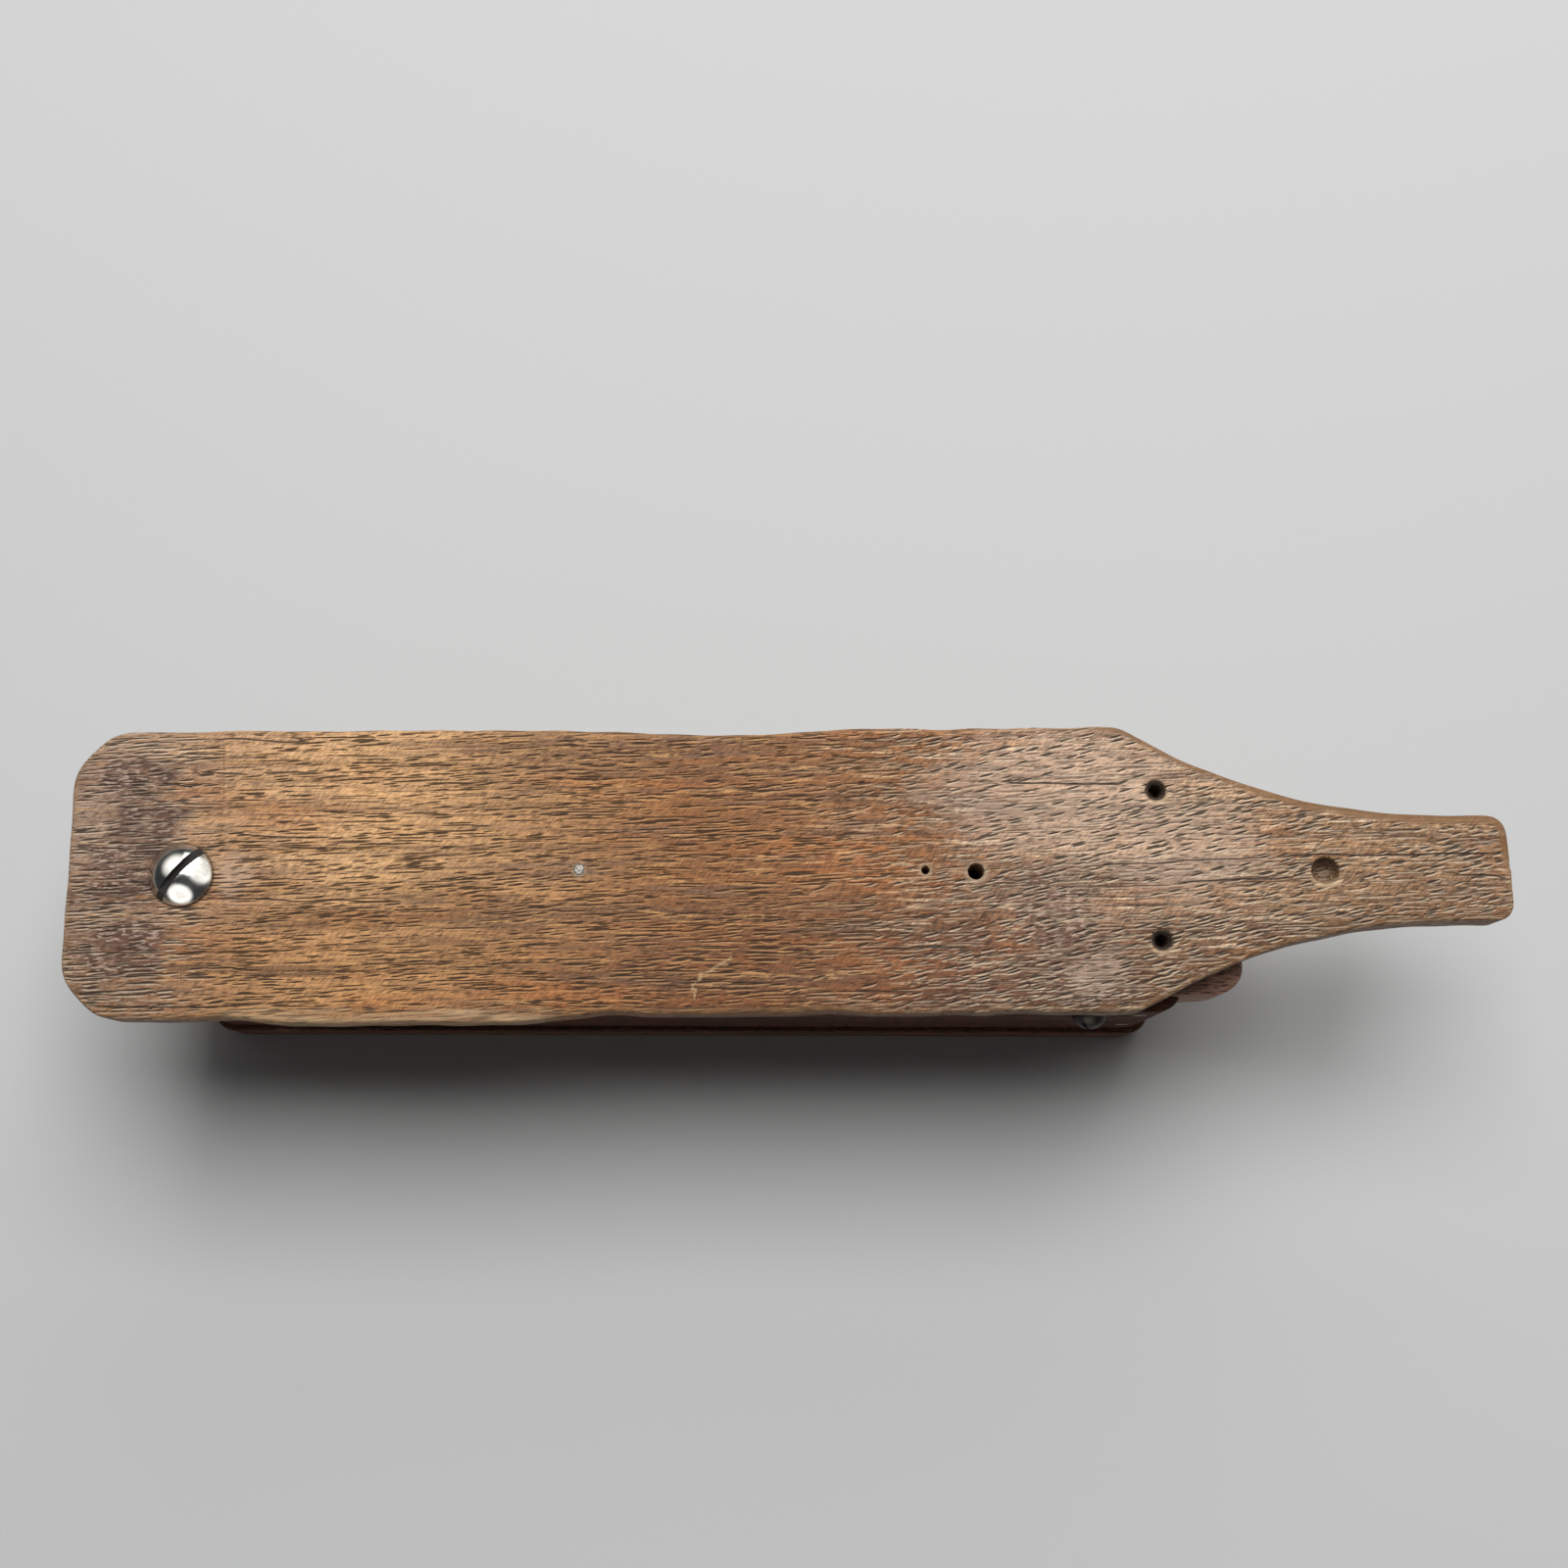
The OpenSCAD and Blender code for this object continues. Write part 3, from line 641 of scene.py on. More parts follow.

# Fine fibres, and the slanting ripple of short strokes that planing left. Towards the handle their
# contrast is raised, so that their pale strokes also stand in as painted glints on the ripple.
fibre = streaks(add, grain, 3.0, 0.2, 3.0)
ripple = add("turned", {"Vector": spot, "Angle": -math.radians(42)})
ripple = streaks(add, ripple, 1.1, 0.34, 2.0)
fine = add("plus", add("times", fibre, 0.5), add("times", ripple, 0.5))
tone = add("times_plus", add("minus", fine, 0.5), add("range", right, 0, 1, 3.6, 5.6), 1.0)
colour = add("scaled", colour, add("larger", tone, 0.3))

# Worn, dirty places where the lid is held, and pale flecks of bare fibre in them
fleck = add("times", add("range", streaks(add, spot, 1.6, 0.4, 3.0, (1, 6, 2)), 0.52, 0.62),
            add("range", streaks(add, spot, 9, 5, 3.0, (9, 2, 6)), 0.38, 0.54))
short_dash = pores(add, spot, 1.9, 0.26, 0.36, 14, (5, 2, 1))
fleck = add("larger", fleck, add("times", short_dash, 0.75))
broken = add("range", streaks(add, spot, 5, 1.6, 5.0, (7, 7, 1)), 0.36, 0.56, 0.7)
hinge_end = add("plus", along, add("times", ragged, 14))
dirt = add("range", hinge_end, -94, -110, 0, 0.5)


def patches(others, *places):
    """Worn patches, each by its centre and its size, together with others."""
    for centre, size in places:
        others = add("larger", zone(add, spot, centre, size, ragged), others)
    return others


dirt = patches(dirt, ((-116.5, 1.5), (10, 9)), ((-114, 10), (9, 5)), ((-117, -14), (10, 8)),
               ((-115, 17), (8, 6)))
held = patches(0.0, ((46, -6), (9, 9)), ((52, -17), (10, 7)))
flecked = add("times", add("larger", held, dirt), fleck)
dirt = add("times", add("larger", add("times", held, 0.5), dirt), broken)
# Pale patches. The largest, on the far side towards the handle, is a painted sheen of light; the
# smaller ones are rubbed bare
rubbed = patches(0.0, ((-97.5, -0.5), (3.5, 5)), ((53, -18), (6, 4)), ((48, 14), (28, 13)),
                 ((70, 4), (18, 10)))
rubbed = add("times", rubbed, broken)
colour = stained(add, colour, (dirt, 0.9, "#462A21"), (flecked, 0.7, "#C9B09B"),
                 (rubbed, 0.4, "#CDB19B"))

# Open pores: long thin ones that crowd in streaks, slanting ones towards the handle and fine ones
crowd = add("range", streaks(add, grain, 26, 4.0, 3.0, (8, 1, 3)), 0.36, 0.58, 0.2, 0.85)
slant_crowd = add("times", right,
                  add("range", streaks(add, grain, 30, 7, 2.0, (2, 7, 7)), 0.38, 0.58, 0.3, 0.95))
straight_share = add("range", right, 0, 1, 1.0, 0.6)
# The pale lip of each pore is a painted highlight: the pores moved a little to the near side and made
# paler
lip_shift = (0, 0.25, 0)


def pore_layer(place):
    """All the larger pores at one place, as a share of their depth."""
    long_pores = pores(add, place, 7.0, 0.27, crowd, 1.5)
    middling = pores(add, place, 3.2, 0.32, crowd, 5, (3, 5, 2))
    slanting = pores(add, place, 2.9, 0.4, slant_crowd, 14, (1, 9, 5))
    straight = add("times", add("larger", long_pores, middling), straight_share)
    return add("larger", straight, slanting)


large = pore_layer(grain)
lip = pore_layer(add("moved", grain, lip_shift))
small = pores(add, grain, 1.6, 0.22, 0.32, 4, (6, 2, 7))
rolled = add("range", add("Attribute", attribute_name="edge_wear").outputs["Fac"], 0.7, 1.0)
handle_edge = add("times", add("range", along, 52, 60), add("range", across, -2, 4))
unrolled = add("times_plus", add("times", rolled, handle_edge), -0.8, 1.0)
open_pores = add("times", add("larger", large, add("times", small, 0.7)), unrolled)
bare = add("larger", right, add("range", along, -97, -110))
lip_share = add("times", unrolled, add("range", bare, 0, 1, 0.4, 0.52))
lip_share = add("times", lip_share, add("range", dirt, 0, 1, 1.0, 0.4))
lip_tone = add("mix", bare, "#DDA870", "#F6DDBF")
colour = stained(add, colour, (lip, lip_share, lip_tone), (open_pores, 0.9, "#22150D"))

# Long pores, drying cracks and scribed lines, by their places on the lid in millimetres
crack_lines = [
    ((-103.5, 24.5), (-84.8, 23.8), 0.4), ((-104.9, 18.6), (-96.0, 18.0), 0.35),
    ((-92.4, 18.5), (-83.5, 18.1), 0.35), ((-111.4, 16.3), (-105.6, 15.8), 0.35),
    ((-98.1, 7.4), (-83.2, 6.5), 0.3), ((-101.9, -4.4), (-66.9, -4.9), 0.3),
    ((-123.0, -22.8), (-98.2, -23.3), 0.35), ((37.3, 15.8), (59.9, 15.5), 0.4),
    ((14.8, -13.3), (31.7, -13.7), 0.3), ((11.1, -20.8), (21.7, -21.2), 0.3),
    ((50.7, 0.7), (86.1, 2.4), 0.25), ((84.0, 2.3), (126.8, 2.9), 0.35),
    ((67.3, -2.3), (90.1, -1.2), 0.35), ((116.3, -0.8), (126.4, -1.7), 0.35),
]
scribe_lines = [((-100.8, 24.7), (-100.1, 12.4), 0.22), ((-108.3, 11.5), (-108.1, 9.8), 0.4),
                ((-106.1, -15.9), (-105.9, -19.2), 0.25)]
pale_lines = [((-9.8, -14.7), (-16.6, -18.9), 0.9), ((-16.6, -18.9), (-16.9, -22.5), 0.5),
              ((110.9, 7.5), (123.5, 7.4), 0.5), ((55.3, -2.1), (57.7, -4.7), 0.25)]
wobble = swing(add, streaks(add, spot, 9, 9, 2.0), 1.4)
torn = swing(add, streaks(add, spot, 1.6, 1.2, 3.0), 2.4)
torn = add("times_plus", wobble, 1.3, torn)


def marks(lines, bend):
    """All the lines of one kind together. Each is its start, its end and its width."""
    together = 0.0
    for start, end, width in lines:
        together = add("larger", mark(add, spot, start, end, width, bend), together)
    return together


cracks = marks(crack_lines, wobble)
scribed = marks(scribe_lines, 0.0)
scraped = add("times", marks(pale_lines, torn), add("range", fine, 0.4, 0.56, 0.35))
colour = stained(add, colour, (scribed, 0.55, "#4A3122"), (scraped, 0.6, "#D6B083"),
                 (cracks, 0.9, "#24160E"))

# Rims of the holes: a pale ring round the drilled ones, and a dark one round the cord holes with a
# pale crescent below it. Shade is painted in the holes: the walls of the bores are darkened, and the
# hole of the handle is painted dark, most to its far side, as the shadow of its far wall. A ring of
# painted shadow lies round the head of the pivot screw.
flat_spot = add("scaled", spot, (1, 1, 0))
# A ring of painted shadow round the edge of the pivot screw's head, where it stands on the lid
under_head_rim = (6.1, 5.5)
pale_ring = dark_ring = crescent = in_bore = 0.0
head_gap = add("distance", flat_spot, (*hole_places["screw"][0], 0))
under_head = add("range", head_gap, *under_head_rim)
for kind, radius, width in (("small", 0.95, 0.7), ("centre", 1.72, 0.9), ("nail", 1.0, 0.6),
                            ("cord", 1.85, 0.4), ("handle", 2.4, 0.3)):
    for place in hole_places[kind]:
        far = add("distance", flat_spot, (*place, 0))
        # Painted shade: the walls of the bores are darkened
        if kind not in ("nail", "handle"):
            bore_r = 1.8 if kind == "cord" else hole_shapes[kind][0]
            bore = add("range", far, bore_r + 0.05, bore_r - 0.15)
            in_bore = add("larger", bore, in_bore)
        far = add("plus", far, swing(add, ragged, 0.9))
        ring = add("range", far, radius + width, radius - 0.1)
        # Painted shadow: the hole of the handle is dark, most to its far side, under its far wall
        if kind == "handle":
            shaded = add("range", across, place[1] - 2.2, place[1] + 2.2, 0.4, 0.9)
            ring = add("times", ring, shaded)
        if kind in ("cord", "handle"):
            dark_ring = add("larger", ring, dark_ring)
            below = add("range", across, place[1] - 0.6, place[1] - 2.0)
            outer = add("range", far, radius + 1.1, radius + 0.5)
            crescent = add("larger", add("times", below, outer), crescent)
        else:
            pale_ring = add("larger", ring, pale_ring)
colour = stained(add, colour, (under_head, 0.75, "#2A1C13"), (pale_ring, 0.55, "#B8A084"),
                 (crescent, 0.45, "#DDBE97"), (dark_ring, 0.82, "#2A1C13"),
                 (in_bore, add("range", fine, 0.4, 0.56, 0.9, 0.6), "#18100B"))

# The rolled edges are rubbed smooth. On the far side of the handle they are golden brown. The near
# edge towards the hinge is worn to pale wood, and its pale band is also a painted edge highlight.
# Below the top, the sides are painted darker as shade.
rolled_tone = add("mix", handle_edge, "#A98560", "#76522E")
rolled_share = add("range", handle_edge, 0, 1, 0.25, 0.75)
# The pale band along the near edge is worn wood and also a painted edge highlight
pale_edge = mark(add, spot, (-102, -24.9), (-38, -25.3), 4.0, wobble)
pale_edge = add("times", pale_edge, add("range", pale_streak, 0.4, 0.6, 0.2))
# Painted shade: the sides below the top are darker
low_side = add("range", height, lid_top_z - 1.0, lid_top_z - 3.0)
colour = stained(add, colour, (rolled, rolled_share, rolled_tone), (pale_edge, 0.6, "#CFAE87"),
                 (low_side, 0.45, "#5A3B22"))

depth = 0.0
for layer, rise in ((open_pores, -0.06), (cracks, -0.2), (fibre, 0.04), (ripple, 0.06)):
    depth = add("times_plus", layer, rise, depth)
relief = add("Bump", {"Height": depth, "Distance": MM})
gloss = add("line", fine, 0.3, 0.7, 0.62, 0.48)
gloss = add("times_plus", open_pores, 0.25, gloss)
surface = add("BsdfPrincipled", {"Base Color": colour, "Roughness": gloss, "IOR": 1.45,
                                 "Specular IOR Level": 0.4, "Normal": relief})
add("OutputMaterial", surface)
lid_board.data.materials.append(walnut)


# Pivot screw
# A large round-head wood screw of steel, turned on a lathe, slotted and nickel plated.
# It is driven into the hinge block and the lid swings and tips under its head.
pivot_screw_sizes = {"head_d": 11.0, "land": 0.4, "dome_h": 2.9, "shank_d": 5.5, "length": 32.0,
                     "point": 5.0, "slot_w": 1.4, "slot_depth": 1.6}
rim_ease = 0.15
slot_wear = 0.12
slot_turn = math.radians(51)
lathe_steps = 144
dome_rows = 26
point_flat_share = 0.25
ease_rows = 3
screw_sharp = math.radians(30)
cutter_over = 1.0


def finished(name, work):
    """Makes an object of a mesh that is ready."""
    mesh = bpy.data.meshes.new(name)
    work.to_mesh(mesh)
    work.free()
    return placed(name, mesh)


def lathe(name, profile, steps=lathe_steps):
    """A turned solid around the Z axis, from (radius, height) pairs in millimetres."""
    work = bmesh.new()
    turns = [2 * math.pi * i / steps for i in range(steps)]
    rings = [[work.verts.new((radius * math.cos(t) * MM, radius * math.sin(t) * MM, height * MM))
              for t in (turns if radius else turns[:1])] for radius, height in profile]
    for low, high in zip(rings, rings[1:]):
        for i in range(steps):
            k = (i + 1) % steps
            corners = [low[i % len(low)], low[k % len(low)], high[k % len(high)], high[i % len(high)]]
            work.faces.new(list(dict.fromkeys(corners)))
    piece = finished(name, work)
    piece.data.shade_smooth()
    return piece


def box_mesh(name, low, high):
    """A plain block used only as a cutter."""
    work = bmesh.new()
    bmesh.ops.create_cube(work, size=1)
    for vert in work.verts:
        for i in range(3):
            vert.co[i] = (low[i] if vert.co[i] < 0 else high[i]) * MM
    return finished(name, work)


def ease(piece, width, degrees=35):
    """Gives a piece's sharp edges a small rounding, in millimetres."""
    bevel = piece.modifiers.new("eased_edges", "BEVEL")
    bevel.width = width * MM
    bevel.segments = ease_rows
    bevel.limit_method = "ANGLE"
    bevel.angle_limit = math.radians(degrees)


def round_head_screw(name, head_d, land, dome_h, shank_d, length, point, slot_w, slot_depth):
    """A slotted round-head screw with its head standing on z = 0."""
    ball_r = ((head_d / 2) ** 2 + dome_h ** 2) / (2 * dome_h)
    middle = land + dome_h - ball_r
    lean = math.asin(head_d / 2 / ball_r)
    turns = [lean * (1 - i / dome_rows) for i in range(dome_rows)]
    dome = [(ball_r * math.sin(turn), middle + ball_r * math.cos(turn)) for turn in turns]
    dome.append((0, land + dome_h))
    shank_r = shank_d / 2
    profile = [(0, -length), (shank_r * point_flat_share, -length), (shank_r, point - length),
               (shank_r, 0), (head_d / 2 - rim_ease, 0), (head_d / 2, rim_ease)] + dome
    screw = lathe(name, profile)
    cutter = box_mesh(name + "_cutter", (-head_d, -slot_w / 2, land + dome_h - slot_depth),
                      (head_d, slot_w / 2, land + dome_h + cutter_over))
    cut = screw.modifiers.new("slot", "BOOLEAN")
    cut.operation = "DIFFERENCE"
    cut.solver = "EXACT"
    cut.object = cutter
    ease(screw, slot_wear, degrees=40)
    worked = screw.evaluated_get(bpy.context.evaluated_depsgraph_get())
    screw.data = bpy.data.meshes.new_from_object(worked)
    screw.modifiers.clear()
    bpy.data.objects.remove(cutter)
    screw.data.shade_smooth()
    screw.data.set_sharp_from_angle(angle=screw_sharp)
    return screw


pivot_screw_piece = round_head_screw("pivot_screw_turned", **pivot_screw_sizes)
head_z = box_corners("pivot_screw")[1][2] - pivot_screw_sizes["land"] - pivot_screw_sizes["dome_h"]
pivot_screw_piece.location = Vector((*pivot[:2], head_z)) * MM
pivot_screw_piece.rotation_euler = (0, 0, slot_turn)
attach(pivot_screw_piece, "box")
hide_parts("pivot_screw")


# Nickel plate over turned steel, polished by handling: a warm grey mirror with a soft haze, fine
# scratches and a little tarnish. Old grease and dust have filled the slot and made it black.
def nickel_plate(name, bright, tarnished, slot_w, haze_low, haze_high):
    """Nickel plate on a slotted head whose slot runs along the piece's own X axis."""
    material, add = new_material(name)
    spot = in_millimetres(add)
    haze = add("TexNoise", {"Vector": spot, "Scale": 0.35, "Detail": 5.0, "Roughness": 0.6})
    scratch = add("TexNoise", {"Vector": add("scaled", spot, (0.4, 7.0, 2.0)), "Scale": 1.0,
                               "Detail": 3.0})
    colour = add("mix", add("range", haze, 0.45, 0.72, 0, 0.6), bright, tarnished)
    gloss = add("plus", add("range", haze, 0.3, 0.7, haze_low, haze_high),
                add("range", scratch, 0.55, 0.75, 0, 0.08))
    relief = add("Bump", {"Height": scratch, "Distance": 0.0015 * MM})
    plate = add("BsdfPrincipled", {"Base Color": colour, "Metallic": 1.0, "Roughness": gloss,
                                   "Normal": relief})
    grime = add("BsdfPrincipled", {"Base Color": "#15110E", "Roughness": 0.8})
    side = add("absolute", add("SeparateXYZ", spot).outputs["Y"])
    in_slot = add("range", side, slot_w / 2 + 0.06, slot_w / 2 - 0.02)
    add("OutputMaterial", add("MixShader", in_slot, plate, grime))
    return material


pivot_screw_piece.data.materials.append(nickel_plate(
    "nickel_plate_polished", "#D6D3CC", "#9A958D", pivot_screw_sizes["slot_w"], 0.13, 0.22))


# Flush nail
# A steel wire nail driven down into the middle of the lid. It was filed off level with the wood,
# and its edge is a little rounded.
filed_low = 0.02
filed_edge = 0.06
filed_round = 0.05
filed_flat_share = 0.7
nail_sides = 48
nail_low, nail_high = box_corners("lid_pin")
nail_r = (nail_high[0] - nail_low[0]) / 2
nail_foot = nail_low[2] - lid_top_z
flush_nail = lathe("flush_nail", [(0, nail_foot), (nail_r, nail_foot),
                                  (nail_r, -filed_edge - filed_low), (nail_r - filed_round, -filed_low),
                                  (nail_r * filed_flat_share, 0), (0, 0)], nail_sides)
flush_nail.location = Vector((*(nail_low + nail_high)[:2] / 2, lid_top_z - filed_low)) * MM
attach(flush_nail, "lid")
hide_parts("lid_pin")

# Drawn steel wire, filed and weathered: pale grey with file marks and brown specks
nail_steel, add = new_material("steel_wire_filed")
spot = in_millimetres(add)
speck = add("TexNoise", {"Vector": spot, "Scale": 2.2, "Detail": 3.0})
colour = add("mix", add("range", speck, 0.42, 0.64, 0, 0.8), "#93908A", "#544840")
file_mark = add("TexNoise", {"Vector": add("scaled", spot, (1.0, 7.0, 1.0)), "Scale": 1.0})
relief = add("Bump", {"Height": file_mark, "Distance": 0.03 * MM})
surface = add("BsdfPrincipled", {"Base Color": colour, "Metallic": 1.0, "Roughness": 0.58,
                                 "Normal": relief})
add("OutputMaterial", surface)
flush_nail.data.materials.append(nail_steel)


# Spring and washer
# A short coil of spring wire in the recess of the hinge block. It presses the washer and the
# lid up under the screw's head, so that the lid comes back after it is tipped.
spring_low, spring_high = box_corners("pivot_spring")
wire_d = 1.0
wire_sides = 14
spring_curls = 3
curl_steps = 48
bend_r = 0.6
bend_steps = 8
washer_ease = 0.15
wire_sharp = math.radians(50)
spring_r = (spring_high[0] - spring_low[0] - wire_d) / 2
curl_low = spring_low[2] + wire_d + bend_r
curl_high = spring_high[2] - wire_d - bend_r
bend_turn = bend_r / spring_r


def on_curl(turn, height):
    """A point of the wire's middle line."""
    return Vector((pivot[0] + spring_r * math.cos(turn), pivot[1] + spring_r * math.sin(turn), height))


# The wire stands up at each end, bends over into the coil and climbs steadily between
bends = [math.pi / 2 * i / bend_steps for i in range(bend_steps + 1)]
climb = [i / (spring_curls * curl_steps) for i in range(1, spring_curls * curl_steps)]
wire = [on_curl(-bend_turn, spring_low[2])]
wire += [on_curl(-bend_turn * math.cos(t), curl_low - bend_r * (1 - math.sin(t))) for t in bends]
wire += [on_curl(2 * math.pi * spring_curls * share, curl_low + (curl_high - curl_low) * share)
         for share in climb]
wire += [on_curl(bend_turn * math.sin(t), curl_high + bend_r * (1 - math.cos(t))) for t in bends]
wire += [on_curl(bend_turn, spring_high[2])]

work = bmesh.new()
wire_rings = []
side_turns = [2 * math.pi * k / wire_sides for k in range(wire_sides)]
for i, place in enumerate(wire):
    ahead = (wire[min(i + 1, len(wire) - 1)] - wire[max(i - 1, 0)]).normalized()
    out = Vector((place[0] - pivot[0], place[1] - pivot[1], 0)).normalized()
    out = (out - ahead * out.dot(ahead)).normalized() * wire_d / 2
    side = ahead.cross(out)
    wire_rings.append([work.verts.new((place + out * math.cos(t) + side * math.sin(t)) * MM)
                       for t in side_turns])
for a, b in zip(wire_rings, wire_rings[1:]):
    for k in range(wire_sides):
        m = (k + 1) % wire_sides
        work.faces.new((a[k], a[m], b[m], b[k]))
work.faces.new(reversed(wire_rings[0]))
work.faces.new(wire_rings[-1])
spring_piece = finished("coiled_spring", work)
spring_piece.data.shade_smooth()
spring_piece.data.set_sharp_from_angle(angle=wire_sharp)
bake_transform(spring_piece)
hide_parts("pivot_spring")

# Drawn spring wire, oiled: dark grey and half dull, with patches of brown rust
spring_steel, add = new_material("spring_wire_drawn")
speck = add("TexNoise", {"Vector": in_millimetres(add), "Scale": 1.1, "Detail": 4.0})
colour = add("mix", add("range", speck, 0.52, 0.74, 0, 0.6), "#7D7B77", "#5A4132")
surface = add("BsdfPrincipled", {"Base Color": colour, "Metallic": 1.0,
                                 "Roughness": add("range", speck, 0.3, 0.7, 0.3, 0.5)})
add("OutputMaterial", surface)
spring_piece.data.materials.append(spring_steel)


def dress(node, material):
    """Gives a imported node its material."""
    packed = frame["nodes"][node]
    packed.data.materials.clear()
    packed.data.materials.append(material)
    return packed


ease(dress("spring_washer", spring_steel), washer_ease)


# Bottom board
# A board of dark mahogany, sawn and sanded, with rounded corners. It carries the side boards and is
# nailed up into the end blocks from below.
board_edge_step = 1.0
board_round = 0.5
base_step = 6.0
nail_head_r = 1.25
nail_head_depth = 0.65
nail_shank_r = 0.7
hole_ease = 0.05
hole_drop = 0.01


def flat(level):
    """A flat face at one height."""
    return lambda points: np.full(len(points), float(level))


def nail_hole(board_t):
    """The profile of a hole through a board for a nail with a sunk head."""
    return [(nail_head_r + hole_ease, 0), (nail_head_r, hole_ease), (nail_head_r, nail_head_depth),
            (nail_shank_r, nail_head_depth + hole_drop), (nail_shank_r, board_t)]


def rim_holes(loops, profiles):
    """Holes for a plank from its packed rims. Each takes the profile nearest to its radius."""
    return [(centre, min(profiles, key=lambda profile: abs(profile[0][0] - radius)), True)
            for centre, radius in map(rim_circle, loops)]


base_t = box_corners("base_board")[1][2]
base_rims = [rim * (1, -1) for rim in rim_loops("base_board", 2, 0)]
bottom_board = plank("bottom_board", smooth_loop(resample(base_rims[0], board_edge_step)),
                     rim_holes(base_rims[1:], [nail_hole(base_t)]), flat(0), flat(-base_t),
                     board_round, board_round, lambda p: p * (1, -1, -1), base_step)
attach(bottom_board, "box")
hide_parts("base_board")


# Mahogany, sanded and oiled: a dark red-brown with ribbon-like bands, fine fibres and short black
# pores. A pore is really 0.1 to 0.2 mm wide, and the finest are drawn at 0.16 mm so that they show.
def mahogany(name, base, dark, pale, gloss, shine):
    """Mahogany in three tones, with its mean roughness and the strength of its oily shine."""
    material, add = new_material(name)
    grain = bent(add, in_millimetres(add), 50, 14, 1.2)
    band = streaks(add, grain, 60, 2.6, 4.0)
    colour = add("mix", add("range", band, 0.35, 0.7), base, dark)
    ribbon = streaks(add, grain, 9, 0.8, 3.0, (3, 1, 7))
    colour = add("mix", add("range", ribbon, 0.5, 0.8, 0, 0.75), colour, pale)
    fibre = streaks(add, grain, 2.4, 0.2, 2.0, (1, 1, 5))
    colour = add("scaled", colour, add("line", fibre, 0.3, 0.7, 0.75, 1.25))
    dashes = add("larger", pores(add, grain, 2.4, 0.24, 0.75, 3),
                 pores(add, grain, 1.2, 0.16, 0.6, 5, (4, 7, 1)))
    colour = stained(add, colour, (dashes, 0.75, "#1C100B"))
    depth = add("times_plus", dashes, -0.08, add("times", fibre, 0.03))
    relief = add("Bump", {"Height": depth, "Distance": MM})
    rough = add("line", fibre, 0.3, 0.7, gloss + 0.08, gloss - 0.06)
    surface = add("BsdfPrincipled", {"Base Color": colour, "Roughness": rough, "IOR": 1.45,
                                     "Specular IOR Level": shine, "Normal": relief})
    add("OutputMaterial", surface)
    return material


box_mahogany = mahogany("mahogany_sanded_oiled", "#63402F", "#392219", "#96705E", 0.6, 0.15)
bottom_board.data.materials.append(box_mahogany)


# Side boards
# Two thin quartered boards, glued to the bottom board and nailed to the end blocks. Their upper
# edges are arched lips, which the lid rubs, and their ends are rounded over to the blocks.
lip_ease_share = 0.4
lip_ease_most = 0.45
inner_ease = 0.2
side_step = 1.6
side_end_t = 0.5
band_hole_r = 1.65
band_hole_ease = 0.1
side_low, side_high = box_corners("near_side_board")
side_t = side_high[1] - side_low[1]
side_out = -side_low[1]
side_in = side_out - side_t
side_profiles = [nail_hole(side_t), [(band_hole_r + band_hole_ease, 0),
                                     (band_hole_r, band_hole_ease), (band_hole_r, side_t)]]
side_flat = rim_loops("near_side_board", 1, -side_out)[0][:, 0].max()
side_round_len = side_high[0] - side_flat
side_round_r = (side_round_len ** 2 + side_t ** 2) / (2 * side_t)
# The thin boards are painted darker than the bottom, as painted shade for the deep shade under the
# lid that they stand in, and they are duller.
board_mahogany = mahogany("mahogany_quartered_oiled", "#4C2C1F", "#2C1810", "#6B4636", 0.7, 0.12)


def board_face(points):
    """The outer face of a side board, which runs round to the block at both ends."""
    past = np.clip(np.abs(points[:, 0]) - side_flat, 0, side_round_len)
    bow = side_round_r - np.sqrt(side_round_r ** 2 - past ** 2)
    return np.maximum(side_out - bow, side_in + side_end_t)


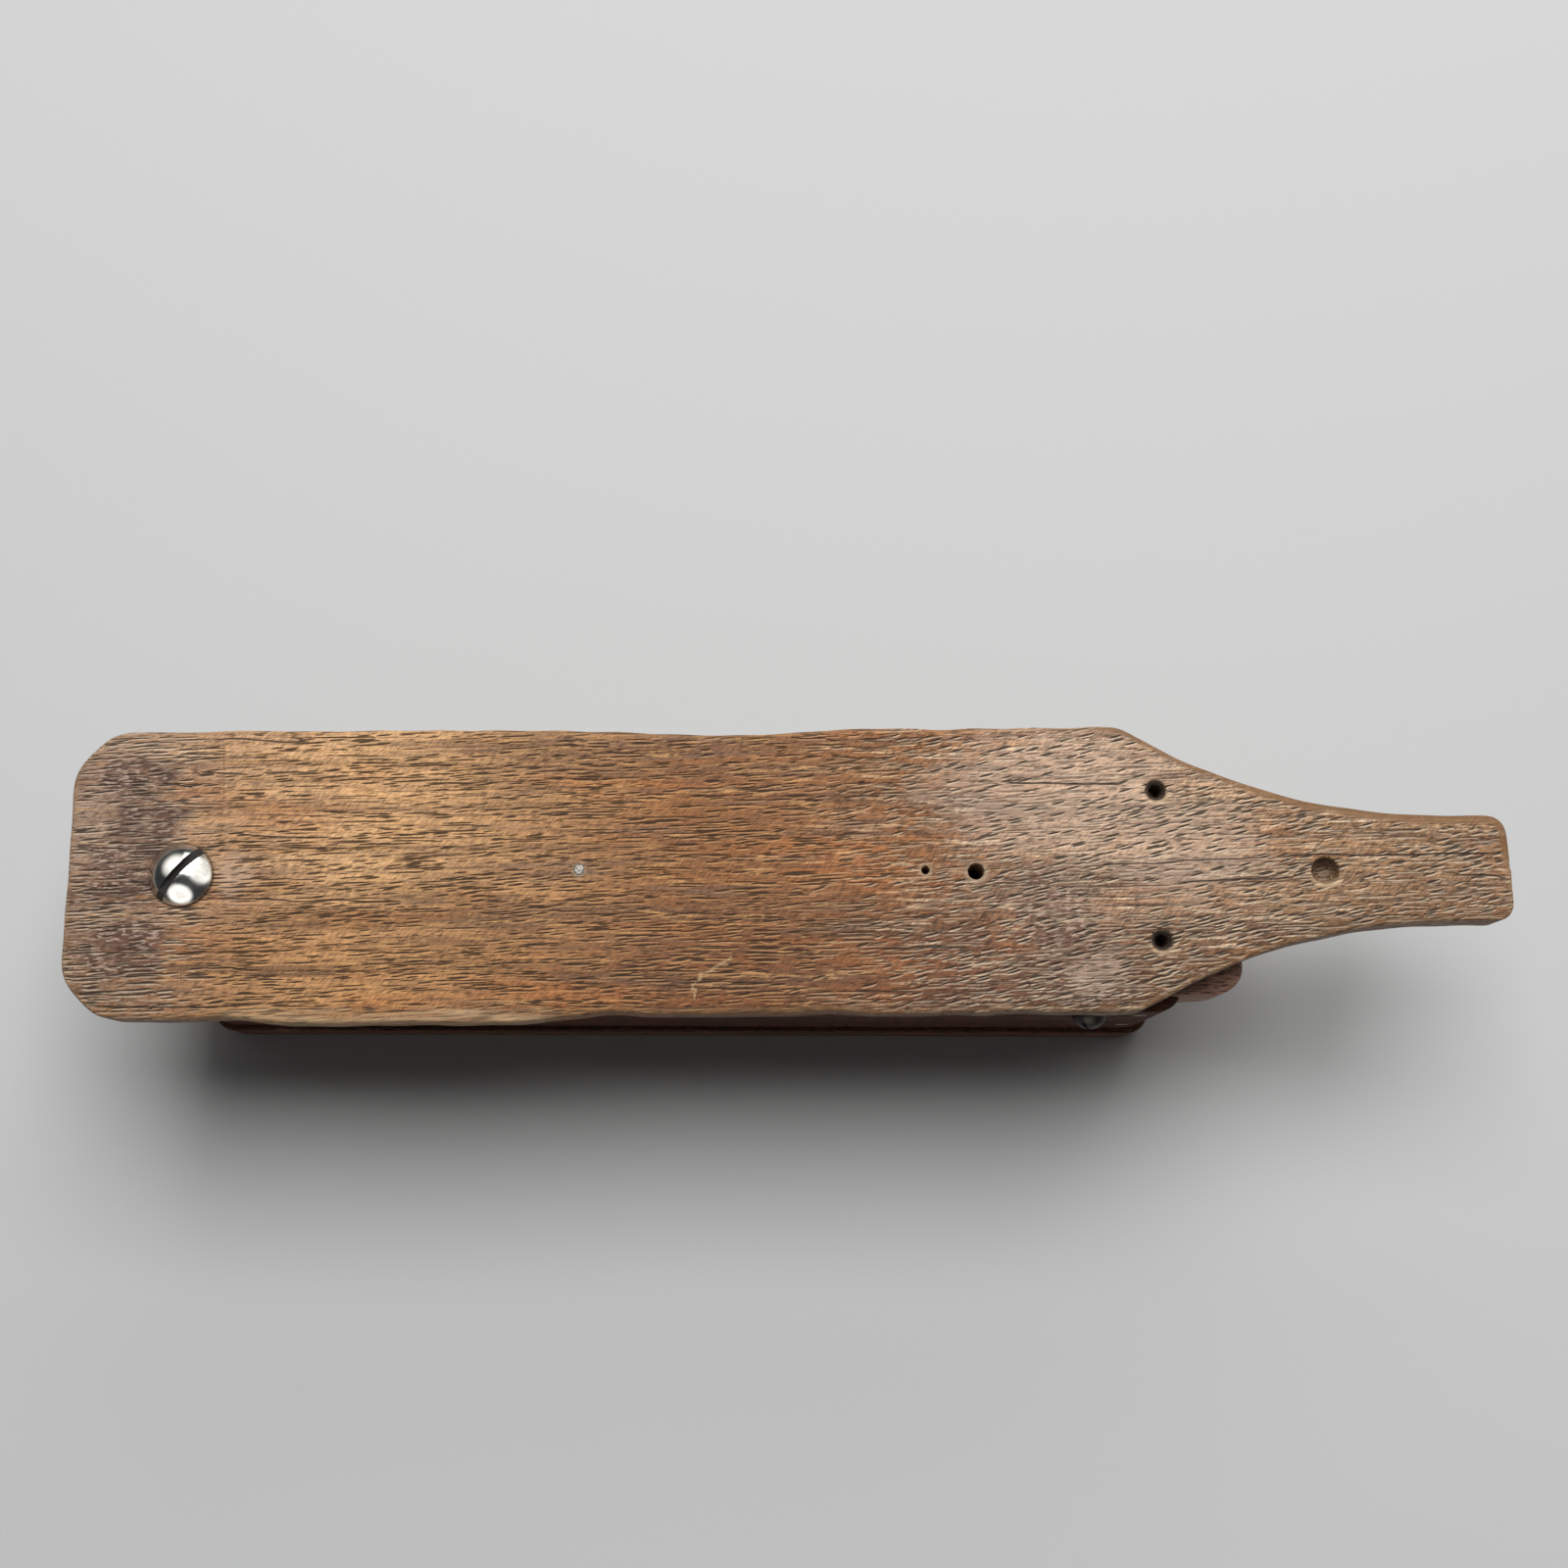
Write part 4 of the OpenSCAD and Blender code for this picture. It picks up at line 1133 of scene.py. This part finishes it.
for name, node, hand, turn in (
        ("near_sound_board", "near_side_board", 1, lambda p: p[:, [0, 2, 1]] * (1, -1, 1)),
        ("far_sound_board", "far_side_board", -1, lambda p: p[:, [0, 2, 1]] * (-1, 1, 1))):
    rims = [rim * (hand, 1) for rim in rim_loops(node, 1, -hand * side_out)]
    edge = np.round(cad_points(node)[:, [0, 2]] * (hand, 1), place_digits)
    edge = edge[convex_hull_2d([Vector(p) for p in edge])]
    edge = smooth_loop(resample(edge, board_edge_step))
    lip_ease = np.clip((board_face(edge) - side_in) * lip_ease_share, 0, lip_ease_most)
    board = plank(name, edge, rim_holes(rims[1:], side_profiles), board_face, flat(side_in),
                  lip_ease, inner_ease, turn, side_step)
    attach(board, "box")
    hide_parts(node)
    board.data.materials.append(board_mahogany)


# End blocks
# Two blocks of the same dark wood close the ends of the box. Each has a nose that stands out
# past it, coved below. The hinge block takes the pivot screw and holds the spring's recess.
block_ease = 0.3
# The blocks are painted paler than the boards: painted light, as on the lit nose of the handle block
block_mahogany = mahogany("mahogany_block_hand_worn", "#AA7E68", "#684A3D", "#CDAE97", 0.58, 0.35)
for node in ("hinge_block", "handle_block"):
    ease(dress(node, block_mahogany), block_ease)


# Nails
# Fine drawn wire nails with flat heads. They are driven flush through the side boards and the
# bottom board into the end blocks.
head_ease = 0.08
for node in ("near_hinge_brads", "near_handle_brads", "far_hinge_brads", "far_handle_brads",
             "base_hinge_brads", "base_handle_brads"):
    ease(dress(node, nail_steel), head_ease)


# Side screws
# A small slotted round-head screw of nickel-plated steel is driven into the handle block through
# each side board. A rubber band hooked on the two holds the lid still.
side_screw_sizes = {"head_d": 6.2, "land": 0.4, "dome_h": 2.2, "shank_d": 3.2, "length": 14.0,
                    "point": 3.2, "slot_w": 0.8, "slot_depth": 1.1}
# Nickel painted dark as shade, for the shade under the lid that the screws sit in: a dark, hazy
# grey that shines only at its rim
old_nickel = nickel_plate("nickel_plate_tarnished", "#332F2B", "#191512",
                          side_screw_sizes["slot_w"], 0.3, 0.46)
for node, side in (("near_band_screw", -1), ("far_band_screw", 1)):
    screw = round_head_screw(node + "_turned", **side_screw_sizes)
    tilted = Matrix.Rotation(-side * math.pi / 2, 4, "X")
    screw.rotation_euler = (tilted @ Matrix.Rotation(side * slot_turn, 4, "Z")).to_euler()
    middle = sum(box_corners(node)) / 2
    screw.location = Vector((middle[0], side * side_out, middle[2])) * MM
    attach(screw, "box")
    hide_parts(node)
    screw.data.materials.append(old_nickel)
